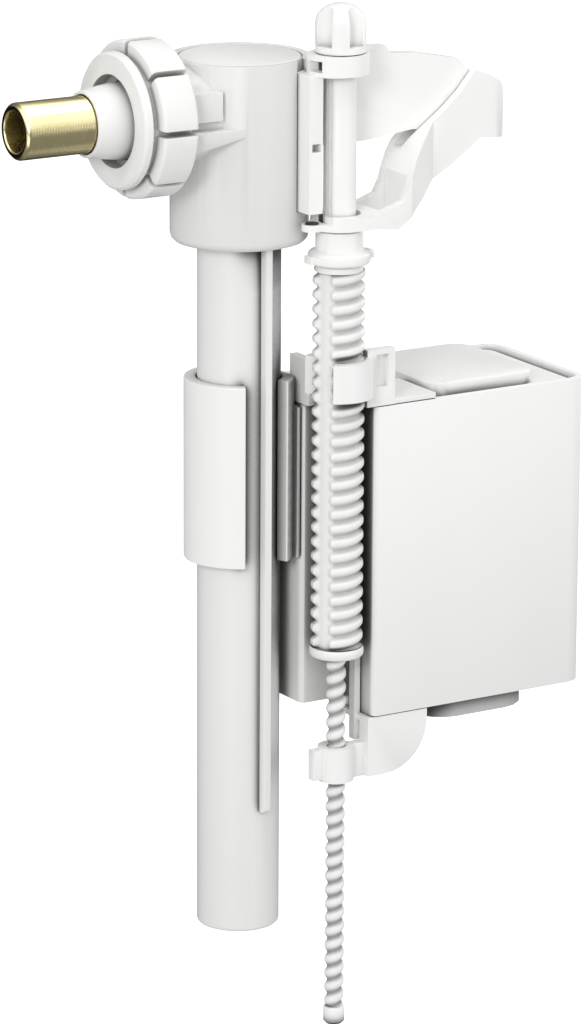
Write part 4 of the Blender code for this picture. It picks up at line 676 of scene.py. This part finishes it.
def shaft_mesh():
    edge = TURNED_EDGE
    return lathe("shaft", [
        (0, SHAFT_TOP),
        (SHAFT_RADIUS - edge, SHAFT_TOP),
        (SHAFT_RADIUS, SHAFT_TOP - edge),
        (SHAFT_RADIUS, SHOULDER_TOP),
        (SHOULDER_RADIUS - edge, SHOULDER_TOP),
        (SHOULDER_RADIUS, SHOULDER_TOP - edge),
        (SHOULDER_RADIUS, SHAFT_BOTTOM),
        (0, SHAFT_BOTTOM),
    ])


def end_collar_mesh():
    edge = TURNED_EDGE
    bottom = COARSE_BOTTOM - END_COLLAR_HEIGHT
    return lathe("end_collar", [
        (0, COARSE_BOTTOM + edge),
        (COARSE_CREST, COARSE_BOTTOM + edge),
        (END_COLLAR_RADIUS, COARSE_BOTTOM - edge),
        (END_COLLAR_RADIUS, bottom + 2 * edge),
        (END_COLLAR_RADIUS - edge, bottom + edge / 2),
        (END_COLLAR_RADIUS - 2 * edge, bottom),
        (0, bottom),
    ])


def end_block_mesh():
    edge = TURNED_EDGE
    return lathe("end_block", [
        (0, END_BLOCK_TOP),
        (END_BLOCK_RADIUS - edge, END_BLOCK_TOP),
        (END_BLOCK_RADIUS, END_BLOCK_TOP - edge),
        (END_BLOCK_RADIUS, END_BLOCK_BOTTOM + 2 * edge),
        (END_BLOCK_RADIUS - 2 * edge, END_BLOCK_BOTTOM),
        (0, END_BLOCK_BOTTOM),
    ], END_BLOCK_SIDES)


def make_spindle(finishes):
    """The spindle in finer form: coarse thread, thin thread, fluted shaft, end collar and end block."""
    low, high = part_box("spindle")
    axis = Vector(((low.x + high.x) / 2, (low.y + high.y) / 2, 0.0))
    meshes = {
        "spindle_coarse_thread": thread_surface(
            "coarse", COARSE_ROOT, COARSE_CREST, COARSE_TOP, COARSE_BOTTOM,
            COARSE_COLUMNS, COARSE_ROWS, strips=True
        ),
        "spindle_thin_thread": thread_surface(
            "thin", THIN_ROOT, THIN_CREST, THIN_TOP, THIN_BOTTOM, THIN_COLUMNS, THIN_ROWS
        ),
        "spindle_shaft": shaft_mesh(),
        "spindle_end_collar": end_collar_mesh(),
        "spindle_end_block": end_block_mesh(),
    }
    for name, mesh in meshes.items():
        mesh.transform(Matrix.Translation(axis))
        piece = place_piece(mesh, name, "spindle", finishes)
        if name == "spindle_shaft":
            cut_flutes(piece, axis)


def cut_pocket(piece, name, size, matrix):
    """Cuts a pocket with rounded corners into a piece that has no modifiers yet. The corners run along
    the size's third side."""
    bm = bmesh.new()
    bmesh.ops.create_cube(bm, size=1.0, matrix=Matrix.Diagonal((*size, 1.0)))
    corners = [edge for edge in bm.edges if abs((edge.verts[0].co - edge.verts[1].co).z) > size[2] / 2]
    bmesh.ops.bevel(
        bm, geom=corners, offset=POCKET_CORNER, segments=POCKET_CORNER_SEGMENTS, affect="EDGES"
    )
    tool = bpy.data.objects.new(name, mesh_of(bm, name, SHARP_ON_FINE))
    bpy.context.scene.collection.objects.link(tool)
    tool.matrix_world = matrix
    cut = piece.modifiers.new(name, "BOOLEAN")
    cut.operation = "DIFFERENCE"
    cut.object = tool
    bpy.context.view_layer.update()
    graph = bpy.context.evaluated_depsgraph_get()
    piece.data = bpy.data.meshes.new_from_object(piece.evaluated_get(graph))
    piece.modifiers.remove(cut)
    bpy.data.objects.remove(tool)
    piece.data.set_sharp_from_angle(angle=SHARP_ON_FINE)


def cut_flutes(shaft, axis):
    """Cuts the two long flutes in the spindle's shaft."""
    size = (FLUTE_WIDTH, FLUTE_DEPTH * 2, FLUTE_TOP - FLUTE_BOTTOM)
    middle = Vector((0.0, 0.0, (FLUTE_TOP + FLUTE_BOTTOM) / 2))
    for i in range(2):
        turn = Matrix.Rotation(STRIP_AZIMUTH + math.pi * i, 4, "Z")
        out = turn @ Vector((0.0, -SHAFT_RADIUS, 0.0))
        cut_pocket(shaft, f"flute_{i}", size, Matrix.Translation(axis + out + middle) @ turn)


def make_pieces(finishes):
    """Rounded surfaces for the nodes that show, the finer spindle, and a finish for the other nodes."""
    for node, width in EDGE_WIDTHS.items():
        piece = clean_copy(node, finishes)
        if node == "lever_bracket":
            cut_pocket(
                piece, "column_pocket", COLUMN_POCKET_SIZE, Matrix.Translation(COLUMN_POCKET_PLACE)
            )
        round_edges(piece, width * MM)
    make_spindle(finishes)
    for name, node in frame["nodes"].items():
        if name not in EDGE_WIDTHS and name != "spindle":
            for slot in node.material_slots:
                slot.material = finishes[slot_of(name)]


def make_floor():
    """A white floor that keeps the valve's shadow and is seen as plain white by the camera."""
    low = cad_box[0]
    bpy.ops.mesh.primitive_plane_add(size=FLOOR_SIZE, location=(*FLOOR_MIDDLE, low.z - FLOOR_DROP))
    floor = bpy.context.object
    floor.name = "floor"
    material = bpy.data.materials.new("floor")
    nodes = Nodes(material)
    nodes.set("Base Color", FLOOR_COLOUR)
    nodes.set("Roughness", FLOOR_ROUGHNESS)
    nodes.set("Specular IOR Level", FLOOR_SPECULAR)
    path = nodes.add("ShaderNodeLightPath")
    glow = nodes.add("ShaderNodeEmission")
    glow.inputs["Strength"].default_value = FLOOR_GLOW
    both = nodes.add("ShaderNodeAddShader")
    nodes.link(nodes.shader.outputs["BSDF"], both.inputs[0])
    nodes.link(glow.outputs["Emission"], both.inputs[1])
    mix = nodes.add("ShaderNodeMixShader")
    nodes.link(path.outputs["Is Camera Ray"], mix.inputs["Fac"])
    nodes.link(nodes.shader.outputs["BSDF"], mix.inputs[1])
    nodes.link(both.outputs["Shader"], mix.inputs[2])
    output = nodes.tree.nodes["Material Output"]
    nodes.link(mix.outputs["Shader"], output.inputs["Surface"])
    floor.data.materials.append(material)
    floor.visible_glossy = False
    floor.visible_diffuse = False


def make_world():
    """A bright studio, with plain white behind the valve. Its reflections are dim below and behind."""
    world = bpy.data.worlds.new("studio")
    bpy.context.scene.world = world
    world.use_nodes = True
    tree = world.node_tree
    tree.nodes.clear()
    path = tree.nodes.new("ShaderNodeLightPath")
    coordinates = tree.nodes.new("ShaderNodeTexCoord")
    split = tree.nodes.new("ShaderNodeSeparateXYZ")
    tree.links.new(coordinates.outputs["Generated"], split.inputs["Vector"])

    def ramp(axis, start, end, first, last):
        """A value that runs from first to last as the light's direction does along an axis."""
        reach = tree.nodes.new("ShaderNodeMapRange")
        reach.interpolation_type = "SMOOTHSTEP"
        reach.inputs["From Min"].default_value = start
        reach.inputs["From Max"].default_value = end
        reach.inputs["To Min"].default_value = first
        reach.inputs["To Max"].default_value = last
        tree.links.new(split.outputs[axis], reach.inputs["Value"])
        return reach.outputs["Result"]

    def product(first, second):
        times = tree.nodes.new("ShaderNodeMath")
        times.operation = "MULTIPLY"
        tree.links.new(first, times.inputs[0])
        tree.links.new(second, times.inputs[1])
        return times.outputs["Value"]

    def background(strength=None):
        """Plain white, or a grey of the given strength."""
        light = tree.nodes.new("ShaderNodeBackground")
        if strength is None:
            light.inputs["Color"].default_value = WHITE
        else:
            tree.links.new(strength, light.inputs["Strength"])
        return light.outputs["Background"]

    def mixed(test, first, second):
        mix = tree.nodes.new("ShaderNodeMixShader")
        tree.links.new(path.outputs[test], mix.inputs["Fac"])
        tree.links.new(first, mix.inputs[1])
        tree.links.new(second, mix.inputs[2])
        return mix.outputs["Shader"]

    soft = background(ramp(*SOFT_LIGHT))
    gloss = background(product(ramp(*GLOSS_LIGHT), ramp(*GLOSS_BEHIND)))
    lit = mixed("Is Glossy Ray", soft, gloss)
    output = tree.nodes.new("ShaderNodeOutputWorld")
    tree.links.new(mixed("Is Camera Ray", lit, background()), output.inputs["Surface"])


def make_lamps():
    """Square lamps round the valve, each aimed at its middle."""
    middle = (cad_box[0] + cad_box[1]) / 2
    for name, (offset, size, power) in LAMPS.items():
        data = bpy.data.lights.new(name, "AREA")
        data.shape = "SQUARE"
        data.size = size
        data.energy = power
        lamp = bpy.data.objects.new(name, data)
        bpy.context.scene.collection.objects.link(lamp)
        lamp.location = middle + Vector(offset)
        lamp.rotation_mode = "QUATERNION"
        lamp.rotation_quaternion = (-Vector(offset)).to_track_quat("-Z", "Y")


bpy.context.scene.view_settings.view_transform = "Standard"
make_pieces(make_finishes())
make_floor()
make_world()
make_lamps()
make_camera()
